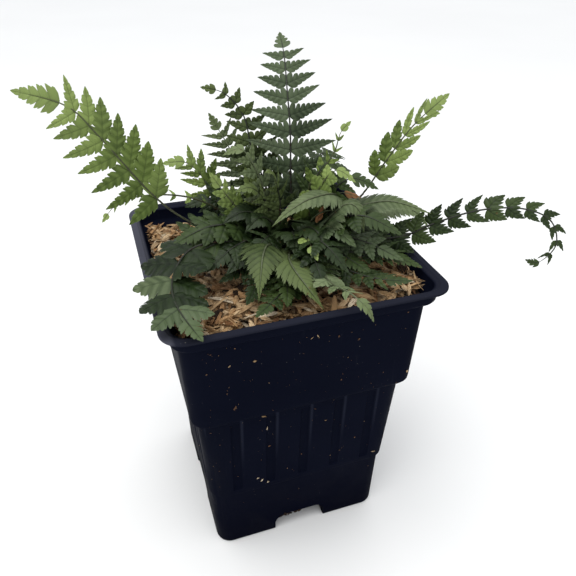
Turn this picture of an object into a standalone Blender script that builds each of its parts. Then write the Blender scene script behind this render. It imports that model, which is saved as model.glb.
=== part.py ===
"""A Korean rock fern in a square black nursery pot.

Metres, +Z up. The origin is the middle of the pot's base, on the surface that it
stands on. The front of the pot faces -Y and its right side faces +X.
"""

import math
import random
from typing import NamedTuple

import bmesh
import bpy
from mathutils import Matrix, Vector
from mathutils.bvhtree import BVHTree

# Driving dimensions of the pot
POT_HEIGHT = 0.1305
RIM_DEPTH = 0.0013
LIP_WIDTH = 0.0025
RIM_HALF = 0.053
COLLAR_HALF = 0.0498
PANEL_TOP_HALF = 0.0470
PANEL_LOW_HALF = 0.0456
STEP_HALF = 0.0427
BASE_HALF = 0.0387
CORNER_RADIUS = 0.0065
WALL = 0.0013
COLLAR_LOW_Z = 0.1240
PANEL_TOP_Z = 0.1215
STEP_Z = 0.083
FOOT_Z = 0.034
FOOT_INSET = 0.0009

# Pressed grooves, arched notches and drain holes of the pot
GROOVES_A_SIDE = 5
GROOVE_SPACING = 0.0145
GROOVE_WIDTH = 0.0050
GROOVE_DEPTH = 0.0011
GROOVE_LOW_Z = 0.037
GROOVE_HIGH_Z = 0.0795
NOTCH_WIDTH = 0.024
NOTCH_HEIGHT = 0.0095
NOTCH_DEPTH = 0.014
NOTCH_ROUNDING = 0.005
DRAIN_RADIUS = 0.003
DRAIN_OFFSET = 0.019

# Gap between neighbouring pieces
GAP = 0.0003

# Growing mix and the layer of rice hulls
MIX_TOP_Z = 0.1165
MULCH_TOP_Z = 0.1215
HULL_ROWS = 8
HULL_LENGTH = 0.0150
HULL_WIDTH = 0.0052
HULL_SEED = 11
HEAP_START = 0.028
HEAP_RUN = 0.018
HEAP_RISE = 0.0045

# Crown, the rings that the stalks stand in, and the roots
CROWN_X = 0.007
CROWN_Y = 0.002
CROWN_RADIUS = 0.0134
CROWN_TOP_Z = 0.1262
CROWN_LOW_Z = 0.1030
INNER_RING = 0.0050
OUTER_RING = 0.0104
INNER_TILT = 10.0
OUTER_TILT = 30.0
SEAT_Z = 0.1195
SEAT_RUN = 0.0080
SEAT_DEPTH = 0.0110
STUB_COUNT = 10
STUB_LENGTH = 0.0072
BUD_LENGTH = 0.0075
ROOT_COUNT = 5
ROOT_RADIUS = 0.0009

# Fronds
STALK_WIDTH = 0.0015
STALK_THICKNESS = 0.0016
RIB_END_WIDTH = 0.0007
RIB_END_THICKNESS = 0.0008
BLADE_THICKNESS = 0.0006
STALK_STEP = 0.009
CURVE_STEPS = 14
LEAFLET_CLEARANCE = 0.00022
ONE_TOOTH_BELOW = 0.0078
THREE_TEETH_ABOVE = 0.0165
TONGUE_TOOTH = 0.0040
LEAST_HALF = 0.0004
ANGLE_LOSS = 20.0

# Ways that a leaflet bends or stays small to keep clear of its neighbours:
# degrees that it lifts by, then share of its full length
BENDS = (
    (0, 1.0), (12, 1.0), (-12, 1.0), (24, 1.0), (-24, 1.0), (36, 1.0), (-36, 1.0),
    (50, 1.0), (0, 0.75), (20, 0.75), (-20, 0.75), (42, 0.75), (65, 0.75), (-42, 0.7),
    (0, 0.5), (25, 0.5), (-25, 0.5), (50, 0.5), (-50, 0.5), (75, 0.5), (0, 0.3), (40, 0.3),
)


class Frond(NamedTuple):
    """One frond: where it stands, how it runs, and how its leaflets are set."""

    name: str
    leaf: str  # key of its leaf colour
    ring: str  # ring of the crown that it stands in
    bearing: float  # degrees round the crown, 0 at the back and 90 at the right
    route: tuple  # points from the crown to the tip
    facing: tuple  # where the upper face looks
    pairs: int  # pairs of leaflets
    reach: float  # length of the longest leaflets
    least: float  # length of the last leaflets before the tip
    tongue: float  # length of the toothed tip, in one piece
    bare: float  # share of the whole length without leaflets
    angle: float  # degrees between the rib and the first leaflets
    taper: float  # 1 narrows in a straight line to the tip, less keeps it fuller
    droop: float  # drop of a leaflet's tip, as a share of its length
    breadth: float = 0.48  # half width of a leaflet, as a share of the pairs' spacing
    skew: float = 0.0  # degrees that the leaflets of the right side lean to the tip


FRONDS = (
    Frond("frond_upright", "mature", "inner", 20,
          ((0.010, 0.006, 0.138), (0.010, 0.008, 0.152), (0.011, 0.012, 0.172),
           (0.012, 0.019, 0.186), (0.014, 0.029, 0.197), (0.016, 0.041, 0.203)),
          (-0.30, -0.85, 0.40), 10, 0.0215, 0.0050, 0.010, 0.27, 84, 0.60, 0.06),
    Frond("frond_long_left", "fresh", "outer", 252,
          ((-0.016, -0.001, 0.136), (-0.033, 0.000, 0.146), (-0.045, 0.001, 0.158),
           (-0.059, 0.000, 0.180), (-0.068, 0.000, 0.192), (-0.083, 0.000, 0.198)),
          (0.05, -0.90, 0.42), 7, 0.0165, 0.0095, 0.014, 0.49, 72, 0.60, 0.05, 0.50, 15),
    Frond("frond_right_up", "fresh", "outer", 54,
          ((0.028, 0.008, 0.133), (0.041, 0.007, 0.143), (0.050, 0.005, 0.158),
           (0.060, 0.003, 0.173), (0.074, 0.003, 0.184)),
          (-0.50, -0.80, 0.30), 5, 0.0125, 0.0085, 0.012, 0.52, 44, 0.60, 0.00),
    Frond("frond_right_droop", "mature", "outer", 90,
          ((0.030, -0.009, 0.132), (0.047, -0.019, 0.136), (0.058, -0.026, 0.144),
           (0.070, -0.034, 0.151), (0.083, -0.041, 0.153), (0.093, -0.046, 0.149),
           (0.097, -0.048, 0.139), (0.093, -0.046, 0.131), (0.088, -0.044, 0.132)),
          (-0.45, -0.75, 0.50), 13, 0.0105, 0.0042, 0.006, 0.26, 62, 0.90, 0.05),
    Frond("frond_back_left", "mature", "inner", 335,
          ((0.004, 0.014, 0.140), (0.001, 0.018, 0.153), (-0.003, 0.019, 0.165),
           (-0.005, 0.021, 0.177), (-0.012, 0.022, 0.186), (-0.021, 0.022, 0.189)),
          (-0.35, -0.80, 0.50), 9, 0.0165, 0.0035, 0.006, 0.33, 75, 1.00, 0.10),
    Frond("frond_back_pale", "mid", "outer", 342,
          ((0.001, 0.022, 0.137), (-0.003, 0.036, 0.148), (-0.008, 0.041, 0.160),
           (-0.014, 0.046, 0.172)),
          (-0.15, -0.70, 0.70), 8, 0.0150, 0.0060, 0.008, 0.36, 75, 0.45, 0.12),
    Frond("frond_unfurling", "fresh", "inner", 65,
          ((0.015, 0.003, 0.142), (0.016, 0.002, 0.154), (0.021, 0.001, 0.160),
           (0.025, 0.000, 0.167), (0.027, 0.000, 0.174), (0.031, 0.000, 0.178)),
          (-0.50, -0.70, 0.50), 5, 0.0070, 0.0025, 0.005, 0.56, 50, 0.90, -0.15),
    Frond("frond_arch_left", "mid", "inner", 110,
          ((0.018, -0.002, 0.138), (0.0265, -0.004, 0.1475), (0.021, -0.0085, 0.1535),
           (0.010, -0.0125, 0.1545), (0.001, -0.0155, 0.1520), (-0.006, -0.0175, 0.1480)),
          (0.05, -0.20, 1.00), 3, 0.0105, 0.0085, 0.018, 0.47, 70, 0.50, 0.18),
    Frond("frond_arch_right", "mid", "inner", 155,
          ((0.015, -0.008, 0.138), (0.0205, -0.0125, 0.1475), (0.025, -0.0155, 0.1520),
           (0.0285, -0.0185, 0.1495), (0.0295, -0.0215, 0.1420)),
          (0.05, -0.20, 1.00), 3, 0.0130, 0.0085, 0.015, 0.44, 68, 0.50, 0.20),
    Frond("frond_star", "mid", "outer", 198,
          ((-0.002, -0.011, 0.135), (-0.007, -0.016, 0.1400), (-0.011, -0.023, 0.1400),
           (-0.014, -0.030, 0.136), (-0.017, -0.037, 0.129)),
          (-0.10, -0.35, 1.00), 3, 0.0125, 0.0085, 0.014, 0.40, 82, 0.40, 0.12),
    Frond("frond_front", "mid", "outer", 162,
          ((0.006, -0.011, 0.1325), (0.000, -0.020, 0.1370), (-0.002, -0.029, 0.1375),
           (0.000, -0.039, 0.1345), (0.004, -0.0465, 0.1285)),
          (0.10, -0.35, 1.00), 3, 0.0135, 0.0090, 0.015, 0.38, 78, 0.40, 0.12),
    Frond("frond_rim", "mid", "outer", 126,
          ((0.014, -0.016, 0.132), (0.010, -0.030, 0.133), (0.008, -0.042, 0.1360),
           (0.010, -0.053, 0.1385), (0.0135, -0.0595, 0.1360), (0.0155, -0.0610, 0.131)),
          (0.10, -0.30, 1.00), 5, 0.0100, 0.0040, 0.010, 0.40, 62, 0.80, 0.15),
    Frond("frond_left_corner", "mature", "outer", 234,
          ((-0.008, -0.008, 0.136), (-0.024, -0.009, 0.1405), (-0.036, -0.013, 0.1410),
           (-0.044, -0.025, 0.1385), (-0.0455, -0.040, 0.1370), (-0.041, -0.060, 0.1360)),
          (0.05, -0.20, 1.00), 5, 0.0135, 0.0105, 0.012, 0.48, 80, 0.45, 0.10),
    Frond("frond_left", "mature", "outer", 270,
          ((-0.010, 0.001, 0.131), (-0.021, 0.003, 0.1370), (-0.032, 0.002, 0.1385),
           (-0.043, -0.001, 0.1350)),
          (0.10, -0.55, 0.85), 5, 0.0140, 0.0075, 0.010, 0.34, 76, 0.50, 0.06),
    Frond("frond_left_back", "fresh", "outer", 324,
          ((-0.011, 0.017, 0.134), (-0.019, 0.021, 0.144), (-0.023, 0.023, 0.154),
           (-0.029, 0.024, 0.160), (-0.038, 0.025, 0.160)),
          (0.10, -0.75, 0.65), 4, 0.0120, 0.0070, 0.009, 0.58, 62, 0.60, 0.10),
    Frond("frond_thin_left", "fresh", "outer", 288,
          ((-0.013, 0.009, 0.139), (-0.028, 0.010, 0.150), (-0.044, 0.009, 0.1545),
           (-0.057, 0.008, 0.1535), (-0.064, 0.007, 0.147)),
          (0.10, -0.55, 0.85), 7, 0.0038, 0.0022, 0.004, 0.46, 60, 0.40, 0.10),
    Frond("frond_right_pale", "mid", "outer", 72,
          ((0.030, 0.000, 0.135), (0.038, -0.004, 0.1410), (0.048, -0.008, 0.1445),
           (0.057, -0.012, 0.1420), (0.063, -0.015, 0.1345)),
          (0.05, -0.45, 0.90), 5, 0.0125, 0.0075, 0.013, 0.38, 70, 0.55, 0.15),
    Frond("frond_right_mulch", "mature", "outer", 108,
          ((0.025, -0.010, 0.1305), (0.033, -0.019, 0.1330), (0.040, -0.028, 0.1335),
           (0.047, -0.037, 0.1320)),
          (0.10, -0.20, 1.00), 5, 0.0140, 0.0070, 0.012, 0.34, 66, 0.60, 0.05),
    Frond("frond_right_low", "mature", "outer", 144,
          ((0.017, -0.017, 0.1300), (0.021, -0.029, 0.1310), (0.028, -0.039, 0.1320),
           (0.039, -0.045, 0.1325)),
          (0.10, -0.20, 1.00), 6, 0.0125, 0.0060, 0.010, 0.34, 62, 0.60, 0.05),
    Frond("frond_left_low", "mature", "outer", 216,
          ((-0.008, -0.012, 0.1300), (-0.016, -0.015, 0.1310), (-0.027, -0.019, 0.1290)),
          (0.00, -0.20, 1.00), 4, 0.0110, 0.0060, 0.009, 0.36, 68, 0.60, 0.04),
    Frond("frond_left_dark", "mature", "outer", 306,
          ((-0.008, 0.012, 0.1350), (-0.015, 0.014, 0.1430), (-0.023, 0.015, 0.1470),
           (-0.032, 0.015, 0.1450)),
          (0.05, -0.60, 0.80), 5, 0.0150, 0.0070, 0.010, 0.36, 68, 0.60, 0.10),
    Frond("frond_young_left", "fresh", "inner", 245,
          ((-0.005, 0.002, 0.137), (-0.012, 0.003, 0.145), (-0.018, 0.004, 0.154),
           (-0.023, 0.006, 0.162)),
          (0.20, -0.80, 0.50), 5, 0.0085, 0.0045, 0.007, 0.44, 62, 0.60, 0.05),
    Frond("frond_young_mid", "fresh", "inner", 290,
          ((-0.002, 0.005, 0.138), (-0.004, 0.006, 0.147), (-0.007, 0.006, 0.155),
           (-0.009, 0.007, 0.162)),
          (0.10, -0.80, 0.50), 5, 0.0080, 0.0045, 0.007, 0.44, 62, 0.60, 0.05),
    Frond("frond_shade", "mature", "inner", 200,
          ((0.008, -0.009, 0.135), (0.010, -0.017, 0.141), (0.013, -0.027, 0.141),
           (0.017, -0.036, 0.135)),
          (0.20, -0.40, 1.00), 4, 0.0145, 0.0080, 0.012, 0.38, 76, 0.60, 0.15),
    Frond("frond_small_front", "mature", "outer", 180,
          ((0.005, -0.017, 0.130), (-0.003, -0.028, 0.1290), (-0.012, -0.037, 0.1290),
           (-0.020, -0.044, 0.1290)),
          (0.00, -0.15, 1.00), 5, 0.0100, 0.0050, 0.009, 0.36, 70, 0.60, 0.03),
    Frond("frond_back_right", "mature", "outer", 27,
          ((0.014, 0.018, 0.137), (0.021, 0.026, 0.146), (0.031, 0.035, 0.151),
           (0.042, 0.043, 0.150), (0.050, 0.050, 0.143)),
          (-0.05, -0.25, 1.00), 7, 0.0160, 0.0060, 0.012, 0.34, 70, 0.60, 0.12),
)


# Materials

def make_material(name, colour, roughness):
    """A Principled material of one colour."""
    material = bpy.data.materials.new(name)
    material.use_nodes = True
    shader = material.node_tree.nodes["Principled BSDF"]
    shader.inputs["Base Color"].default_value = (*colour, 1.0)
    shader.inputs["Roughness"].default_value = roughness
    shader.inputs["Metallic"].default_value = 0.0
    material.diffuse_color = (*colour, 1.0)
    return material


def make_materials():
    """Every material of the object, by its key."""
    return {
        "pot": make_material("pot_plastic", (0.016, 0.019, 0.027), 0.55),
        "mix": make_material("growing_mix", (0.030, 0.020, 0.013), 0.95),
        "hulls": make_material("rice_hulls", (0.420, 0.270, 0.130), 0.80),
        "crown": make_material("rhizome", (0.060, 0.035, 0.018), 0.85),
        "mature": make_material("mature_leaf", (0.030, 0.070, 0.028), 0.45),
        "mid": make_material("mid_leaf", (0.085, 0.160, 0.055), 0.50),
        "fresh": make_material("fresh_leaf", (0.150, 0.280, 0.045), 0.50),
    }


# Mesh helpers

def add_object(mesh, name, collection, material=None):
    """A new object from a bmesh, which is freed."""
    bmesh.ops.recalc_face_normals(mesh, faces=mesh.faces)
    data = bpy.data.meshes.new(name)
    mesh.to_mesh(data)
    mesh.free()
    obj = bpy.data.objects.new(name, data)
    collection.objects.link(obj)
    if material:
        data.materials.append(material)
    return obj


def add_guide(mesh, name, collection):
    """A cutter, or a shape that is joined to another and then removed."""
    obj = add_object(mesh, name, collection)
    obj.hide_render = True
    obj.display_type = "WIRE"
    return obj


def cut(obj, cutter, name):
    """Takes the cutter's shape out of the object, as a modifier."""
    modifier = obj.modifiers.new(name, "BOOLEAN")
    modifier.operation = "DIFFERENCE"
    modifier.object = cutter
    return modifier


def apply_modifiers(obj):
    """Gives the object the mesh that its modifiers make, and drops them."""
    bpy.context.view_layer.update()
    graph = bpy.context.evaluated_depsgraph_get()
    data = bpy.data.meshes.new_from_object(obj.evaluated_get(graph))
    old = obj.data
    obj.modifiers.clear()
    obj.data = data
    bpy.data.meshes.remove(old)


def shade_smooth(obj, degrees):
    """Smooth shading with sharp edges above the angle."""
    obj.data.shade_smooth()
    obj.data.set_sharp_from_angle(angle=math.radians(degrees))


def rounded_square(half, radius, z):
    """Points round a square with rounded corners, at one height."""
    corner_steps = 3
    centre = half - radius
    points = []
    for corner in range(4):
        start = corner * math.pi / 2
        cx = centre * (1 if corner in (0, 3) else -1)
        cy = centre * (1 if corner in (0, 1) else -1)
        for step in range(corner_steps + 1):
            angle = start + step * math.pi / 2 / corner_steps
            points.append(Vector((cx + radius * math.cos(angle),
                                  cy + radius * math.sin(angle), z)))
    return points


def loft(levels):
    """A closed bmesh through rounded squares, each given as (z, half, radius)."""
    mesh = bmesh.new()
    rings = [[mesh.verts.new(p) for p in rounded_square(half, radius, z)]
             for z, half, radius in levels]
    for low, high in zip(rings, rings[1:]):
        for i in range(len(low)):
            j = (i + 1) % len(low)
            mesh.faces.new((low[i], low[j], high[j], high[i]))
    mesh.faces.new(tuple(reversed(rings[0])))
    mesh.faces.new(rings[-1])
    return mesh


def four_sides():
    """The turns about Z that take the front side to each side."""
    return [Matrix.Rotation(turn * math.pi / 2, 4, "Z") for turn in range(4)]


# Pot

def outer_levels():
    """Heights, half widths and corner radii up the outside of the pot."""
    slope = (STEP_HALF - BASE_HALF) / STEP_Z
    foot_half = BASE_HALF + slope * FOOT_Z
    corner = CORNER_RADIUS
    return [
        (0.0, BASE_HALF - 0.0006, corner - 0.0006),
        (0.0008, BASE_HALF, corner),
        (FOOT_Z, foot_half - FOOT_INSET, corner),
        (FOOT_Z + 0.0010, foot_half, corner),
        (STEP_Z - 0.0016, STEP_HALF, corner),
        (STEP_Z - 0.0002, PANEL_LOW_HALF - 0.0009, corner),
        (STEP_Z + 0.0016, PANEL_LOW_HALF, corner),
        (PANEL_TOP_Z, PANEL_TOP_HALF, corner + 0.0005),
        (COLLAR_LOW_Z - 0.0006, COLLAR_HALF - 0.0008, corner + 0.0005),
        (COLLAR_LOW_Z + 0.0005, COLLAR_HALF, corner + 0.0005),
        (POT_HEIGHT - RIM_DEPTH - 0.0003, COLLAR_HALF + 0.0002, corner + 0.0005),
        (POT_HEIGHT - RIM_DEPTH, RIM_HALF - 0.0005, corner + 0.0016),
        (POT_HEIGHT - RIM_DEPTH / 2, RIM_HALF, corner + 0.0020),
        (POT_HEIGHT, RIM_HALF - 0.0005, corner + 0.0017),
    ]


def cavity_levels():
    """The same up the inside, a wall's thickness in, and out past the rim."""
    outside = outer_levels()[2:11]
    lip_half = RIM_HALF - LIP_WIDTH
    rise = WALL * 0.55
    inside = [(z + rise, half - WALL, radius - WALL * 0.6) for z, half, radius in outside]
    floor = [(WALL + 0.0004, BASE_HALF - WALL, CORNER_RADIUS - WALL * 0.6)]
    mouth = [(POT_HEIGHT - 0.0004, lip_half - 0.0005, CORNER_RADIUS + 0.0005),
             (POT_HEIGHT + 0.0010, lip_half + 0.0009, CORNER_RADIUS + 0.0009)]
    return floor + inside + mouth


def groove_shapes(more):
    """A bmesh of the pressed grooves of all four sides, larger by a thickness."""
    mesh = bmesh.new()
    height = GROOVE_HIGH_Z - GROOVE_LOW_Z
    middle = (GROOVE_HIGH_Z + GROOVE_LOW_Z) / 2
    lean = math.atan2(STEP_HALF - BASE_HALF, STEP_Z)
    face = BASE_HALF + (STEP_HALF - BASE_HALF) * middle / STEP_Z
    outward = 0.004
    for turn in four_sides():
        for index in range(GROOVES_A_SIDE):
            x = (index - (GROOVES_A_SIDE - 1) / 2) * GROOVE_SPACING
            depth = GROOVE_DEPTH + more + outward
            cube = bmesh.ops.create_cube(mesh, size=1.0)["verts"]
            for vert in cube:
                deep = vert.co.y > 0
                inset = 0.0011 if deep else -0.0022
                vert.co.x *= GROOVE_WIDTH + 2 * more - 2 * inset
                vert.co.z *= height + 2 * more - 2 * inset
                vert.co.y = GROOVE_DEPTH + more if deep else GROOVE_DEPTH + more - depth
            place = turn @ Matrix.Translation((x, -face, middle)) @ Matrix.Rotation(lean, 4, "X")
            bmesh.ops.transform(mesh, matrix=place, verts=cube)
    return mesh


def notch_shapes(more):
    """A bmesh of the arched notches under the four sides, larger by a thickness."""
    mesh = bmesh.new()
    below = 0.004
    for turn in four_sides():
        verts = bmesh.ops.create_cube(mesh, size=1.0)["verts"]
        front = -BASE_HALF - 0.006
        back = -BASE_HALF + NOTCH_DEPTH + more
        for vert in verts:
            vert.co.x *= NOTCH_WIDTH + 2 * more
            vert.co.y = front if vert.co.y < 0 else back
            vert.co.z = NOTCH_HEIGHT + more if vert.co.z > 0 else -below
        edges = {edge for vert in verts for edge in vert.link_edges}
        tops = [e for e in edges if all(v.co.z > 0 for v in e.verts)
                and abs(e.verts[0].co.x - e.verts[1].co.x) < 1e-6]
        made = bmesh.ops.bevel(mesh, geom=tops, offset=NOTCH_ROUNDING, segments=2,
                               affect="EDGES", profile=0.5)
        arch = {v for face in made["faces"] for v in face.verts}
        arch |= {v for v in verts if v.is_valid}
        bmesh.ops.transform(mesh, matrix=turn, verts=list(arch))
    return mesh


def drain_shapes():
    """A bmesh of the drain holes: four in the base, and one in the back of each notch."""
    mesh = bmesh.new()
    for sx in (-1, 1):
        for sy in (-1, 1):
            place = Matrix.Translation((sx * DRAIN_OFFSET, sy * DRAIN_OFFSET, 0.0))
            bmesh.ops.create_cone(mesh, cap_ends=True, segments=8, radius1=DRAIN_RADIUS,
                                  radius2=DRAIN_RADIUS, depth=0.008, matrix=place)
    for turn in four_sides():
        place = turn @ Matrix.Translation((0.0, -BASE_HALF + NOTCH_DEPTH, NOTCH_HEIGHT * 0.5))
        place = place @ Matrix.Rotation(math.pi / 2, 4, "X")
        bmesh.ops.create_cone(mesh, cap_ends=True, segments=8, radius1=DRAIN_RADIUS,
                              radius2=DRAIN_RADIUS, depth=0.008, matrix=place)
    return mesh


def make_pot(parts, guides, material):
    """The thin-walled pot: its outside less its cavity, grooves, notches and holes."""
    cavity = add_guide(loft(cavity_levels()), "pot_cavity", guides)
    grooves_in = add_guide(groove_shapes(WALL), "groove_backs", guides)
    notches_in = add_guide(notch_shapes(WALL), "notch_backs", guides)
    cut(cavity, grooves_in, "groove_backs")
    cut(cavity, notches_in, "notch_backs")
    apply_modifiers(cavity)
    pot = add_object(loft(outer_levels()), "pot", parts, material)
    cut(pot, cavity, "cavity")
    cut(pot, add_guide(groove_shapes(0.0), "grooves", guides), "grooves")
    cut(pot, add_guide(notch_shapes(0.0), "notches", guides), "notches")
    cut(pot, add_guide(drain_shapes(), "drain_holes", guides), "drain_holes")
    apply_modifiers(pot)
    shade_smooth(pot, 35)
    return pot


# Crown and roots

def ring_point(radius, bearing, z):
    """A point round the crown's axis."""
    angle = math.radians(bearing)
    return Vector((CROWN_X + radius * math.sin(angle), CROWN_Y + radius * math.cos(angle), z))


def seat_of(ring, bearing):
    """The foot of a stalk in the crown, and the direction that it leaves in."""
    radius = INNER_RING if ring == "inner" else OUTER_RING
    tilt = math.radians(INNER_TILT if ring == "inner" else OUTER_TILT)
    angle = math.radians(bearing)
    away = Vector((math.sin(angle), math.cos(angle), 0.0))
    return ring_point(radius, bearing, SEAT_Z), away * math.sin(tilt) + Vector((0, 0, math.cos(tilt)))


def turned_crown():
    """A bmesh of the rhizome, turned about its axis from a profile."""
    profile = ((0.60, CROWN_LOW_Z), (0.94, CROWN_LOW_Z + 0.0060), (1.00, CROWN_TOP_Z - 0.0100),
               (0.97, CROWN_TOP_Z - 0.0045), (0.66, CROWN_TOP_Z))
    sides = 14
    mesh = bmesh.new()
    rings = [[mesh.verts.new(ring_point(share * CROWN_RADIUS, 360.0 * i / sides, z))
              for i in range(sides)] for share, z in profile]
    for low, high in zip(rings, rings[1:]):
        for i in range(sides):
            j = (i + 1) % sides
            mesh.faces.new((low[i], high[i], high[j], low[j]))
    mesh.faces.new(rings[0])
    mesh.faces.new(tuple(reversed(rings[-1])))
    return mesh


def peg(start, end, radius1, radius2, sides):
    """A closed bmesh of a tapering peg between two points."""
    axis = end - start
    mesh = bmesh.new()
    turn = axis.to_track_quat("Z", "Y").to_matrix().to_4x4()
    place = Matrix.Translation((start + end) / 2) @ turn
    bmesh.ops.create_cone(mesh, cap_ends=True, segments=sides, radius1=radius1,
                          radius2=radius2, depth=axis.length, matrix=place)
    return mesh


def stub_meshes():
    """Stubs of old stalks between the outer stalks, and the bud in the middle."""
    meshes = []
    for index in range(STUB_COUNT):
        bearing = 9.0 + 360.0 * index / STUB_COUNT
        foot, away = seat_of("outer", bearing)
        length = STUB_LENGTH * (1.0 + 0.17 * (index % 3))
        meshes.append(peg(foot, foot + away * length, 0.0009, 0.0005, 4))
    bud_foot = ring_point(0.0, 0.0, CROWN_TOP_Z - 0.004)
    meshes.append(peg(bud_foot, bud_foot + Vector((0.0, 0.0, BUD_LENGTH)), 0.0020, 0.0009, 6))
    return meshes


def root_tube(index, radius):
    """A closed bmesh of one root, from under the crown out and down into the mix."""
    bearing = 20.0 + 360.0 * index / ROOT_COUNT
    path = [ring_point(0.0050, bearing, CROWN_LOW_Z + 0.006),
            ring_point(0.0120, bearing + 8, 0.0920),
            ring_point(0.0210, bearing + 2, 0.0740),
            ring_point(0.0250, bearing + 14, 0.0500 + 0.004 * index)]
    sides = 4
    mesh = bmesh.new()
    rings = []
    for i, point in enumerate(path):
        along = (path[min(i + 1, len(path) - 1)] - path[max(i - 1, 0)]).normalized()
        across = along.cross(Vector((math.cos(math.radians(bearing)),
                                     -math.sin(math.radians(bearing)), 0.0))).normalized()
        turns = [Matrix.Rotation(2 * math.pi * k / sides, 3, along) for k in range(sides)]
        rings.append([mesh.verts.new(point + radius * (turn @ across)) for turn in turns])
    for low, high in zip(rings, rings[1:]):
        for k in range(sides):
            mesh.faces.new((low[k], low[(k + 1) % sides], high[(k + 1) % sides], high[k]))
    mesh.faces.new(rings[0])
    mesh.faces.new(tuple(reversed(rings[-1])))
    return mesh


def combine(obj, operation, meshes, name, guides):
    """Joins closed meshes to the object, or cuts them from it, with one applied Boolean."""
    group = bpy.data.collections.new(name)
    guides.children.link(group)
    pieces = [add_guide(mesh, f"{name}_{i}", group) for i, mesh in enumerate(meshes)]
    boolean = obj.modifiers.new(name, "BOOLEAN")
    boolean.operation = operation
    boolean.solver = "MANIFOLD"
    boolean.operand_type = "COLLECTION"
    boolean.collection = group
    apply_modifiers(obj)
    for piece in pieces:
        bpy.data.objects.remove(piece)
    bpy.data.collections.remove(group)


def stalk_holes():
    """Meshes of the plain holes that the stalks stand in."""
    half = math.hypot(STALK_WIDTH, STALK_THICKNESS) / 2 + GAP
    meshes = []
    for frond in FRONDS:
        foot, away = seat_of(frond.ring, frond.bearing)
        meshes.append(peg(foot - away * GAP, foot + away * SEAT_DEPTH, half, half * 1.12, 6))
    return meshes


def make_crown(parts, guides, material):
    """The rhizome with its stubs, bud and roots, and a hole for each stalk."""
    crown = add_object(turned_crown(), "crown", parts, material)
    roots = [root_tube(i, ROOT_RADIUS) for i in range(ROOT_COUNT)]
    combine(crown, "UNION", stub_meshes() + roots, "growths", guides)
    combine(crown, "DIFFERENCE", stalk_holes(), "stalk_holes", guides)
    shade_smooth(crown, 40)
    return crown


# Growing mix and mulch

def crown_hole(low, high):
    """A closed bmesh of the round hole that the crown stands in."""
    return peg(ring_point(0.0, 0.0, low), ring_point(0.0, 0.0, high),
               CROWN_RADIUS * 1.03 + GAP, CROWN_RADIUS * 1.03 + GAP, 20)


def make_soil(parts, guides, material):
    """The growing mix: it fills the pot up to the hulls, clear of the grooves' backs."""
    inset = GAP + GROOVE_DEPTH
    inside = cavity_levels()
    levels = [(inside[0][0] + GAP, inside[0][1] - inset, 0.006),
              (STEP_Z - 0.002, inside[3][1] - inset, 0.006),
              (STEP_Z + 0.004, PANEL_LOW_HALF - WALL - GAP, 0.006),
              (MIX_TOP_Z, inner_half(MIX_TOP_Z) - GAP, 0.006)]
    soil = add_object(loft(levels), "soil", parts, material)
    cut(soil, add_guide(notch_shapes(WALL + GAP), "notch_rooms", guides), "notch_rooms")
    crown_room = crown_hole(CROWN_LOW_Z - GAP, MIX_TOP_Z + 0.01)
    cut(soil, add_guide(crown_room, "crown_room", guides), "crown_room")
    for index in range(ROOT_COUNT):
        name = f"root_channel_{index}"
        cut(soil, add_guide(root_tube(index, ROOT_RADIUS + GAP * 1.6), name, guides), name)
    apply_modifiers(soil)
    return soil


def inner_half(z):
    """Half width of the pot's inside at a height of its upper panel."""
    share = (z - STEP_Z) / (PANEL_TOP_Z - STEP_Z)
    return PANEL_LOW_HALF + (PANEL_TOP_HALF - PANEL_LOW_HALF) * share - WALL - 0.0001


def mulch_top(x, y):
    """Height of the hull layer's surface: gently uneven, and heaped at the two sides."""
    beside = max(0.0, min(1.0, (abs(x) - HEAP_START) / HEAP_RUN))
    return (MULCH_TOP_Z + HEAP_RISE * beside ** 1.5
            + 0.0008 * math.sin(x * 95 + 1.0) * math.cos(y * 80)
            + 0.0005 * math.sin(y * 170 + x * 60))


def hull_mesh(centre, heading, pitch, length, width):
    """A closed bmesh of one rice hull: a boat shape that is pointed at both ends."""
    mesh = bmesh.new()
    ends = [mesh.verts.new((-length / 2, 0, 0)), mesh.verts.new((length / 2, 0, 0))]
    ring = [mesh.verts.new((x, y, z)) for x, y, z in (
        (-0.08 * length, width / 2, 0), (0.05 * length, 0, width * 0.42),
        (-0.08 * length, -width / 2, 0), (0.0, 0, -width * 0.42))]
    for i in range(4):
        j = (i + 1) % 4
        mesh.faces.new((ends[0], ring[i], ring[j]))
        mesh.faces.new((ends[1], ring[j], ring[i]))
    place = (Matrix.Translation(centre) @ Matrix.Rotation(heading, 4, "Z")
             @ Matrix.Rotation(pitch, 4, "Y"))
    bmesh.ops.transform(mesh, matrix=place, verts=mesh.verts)
    bmesh.ops.recalc_face_normals(mesh, faces=mesh.faces)
    return mesh


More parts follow.
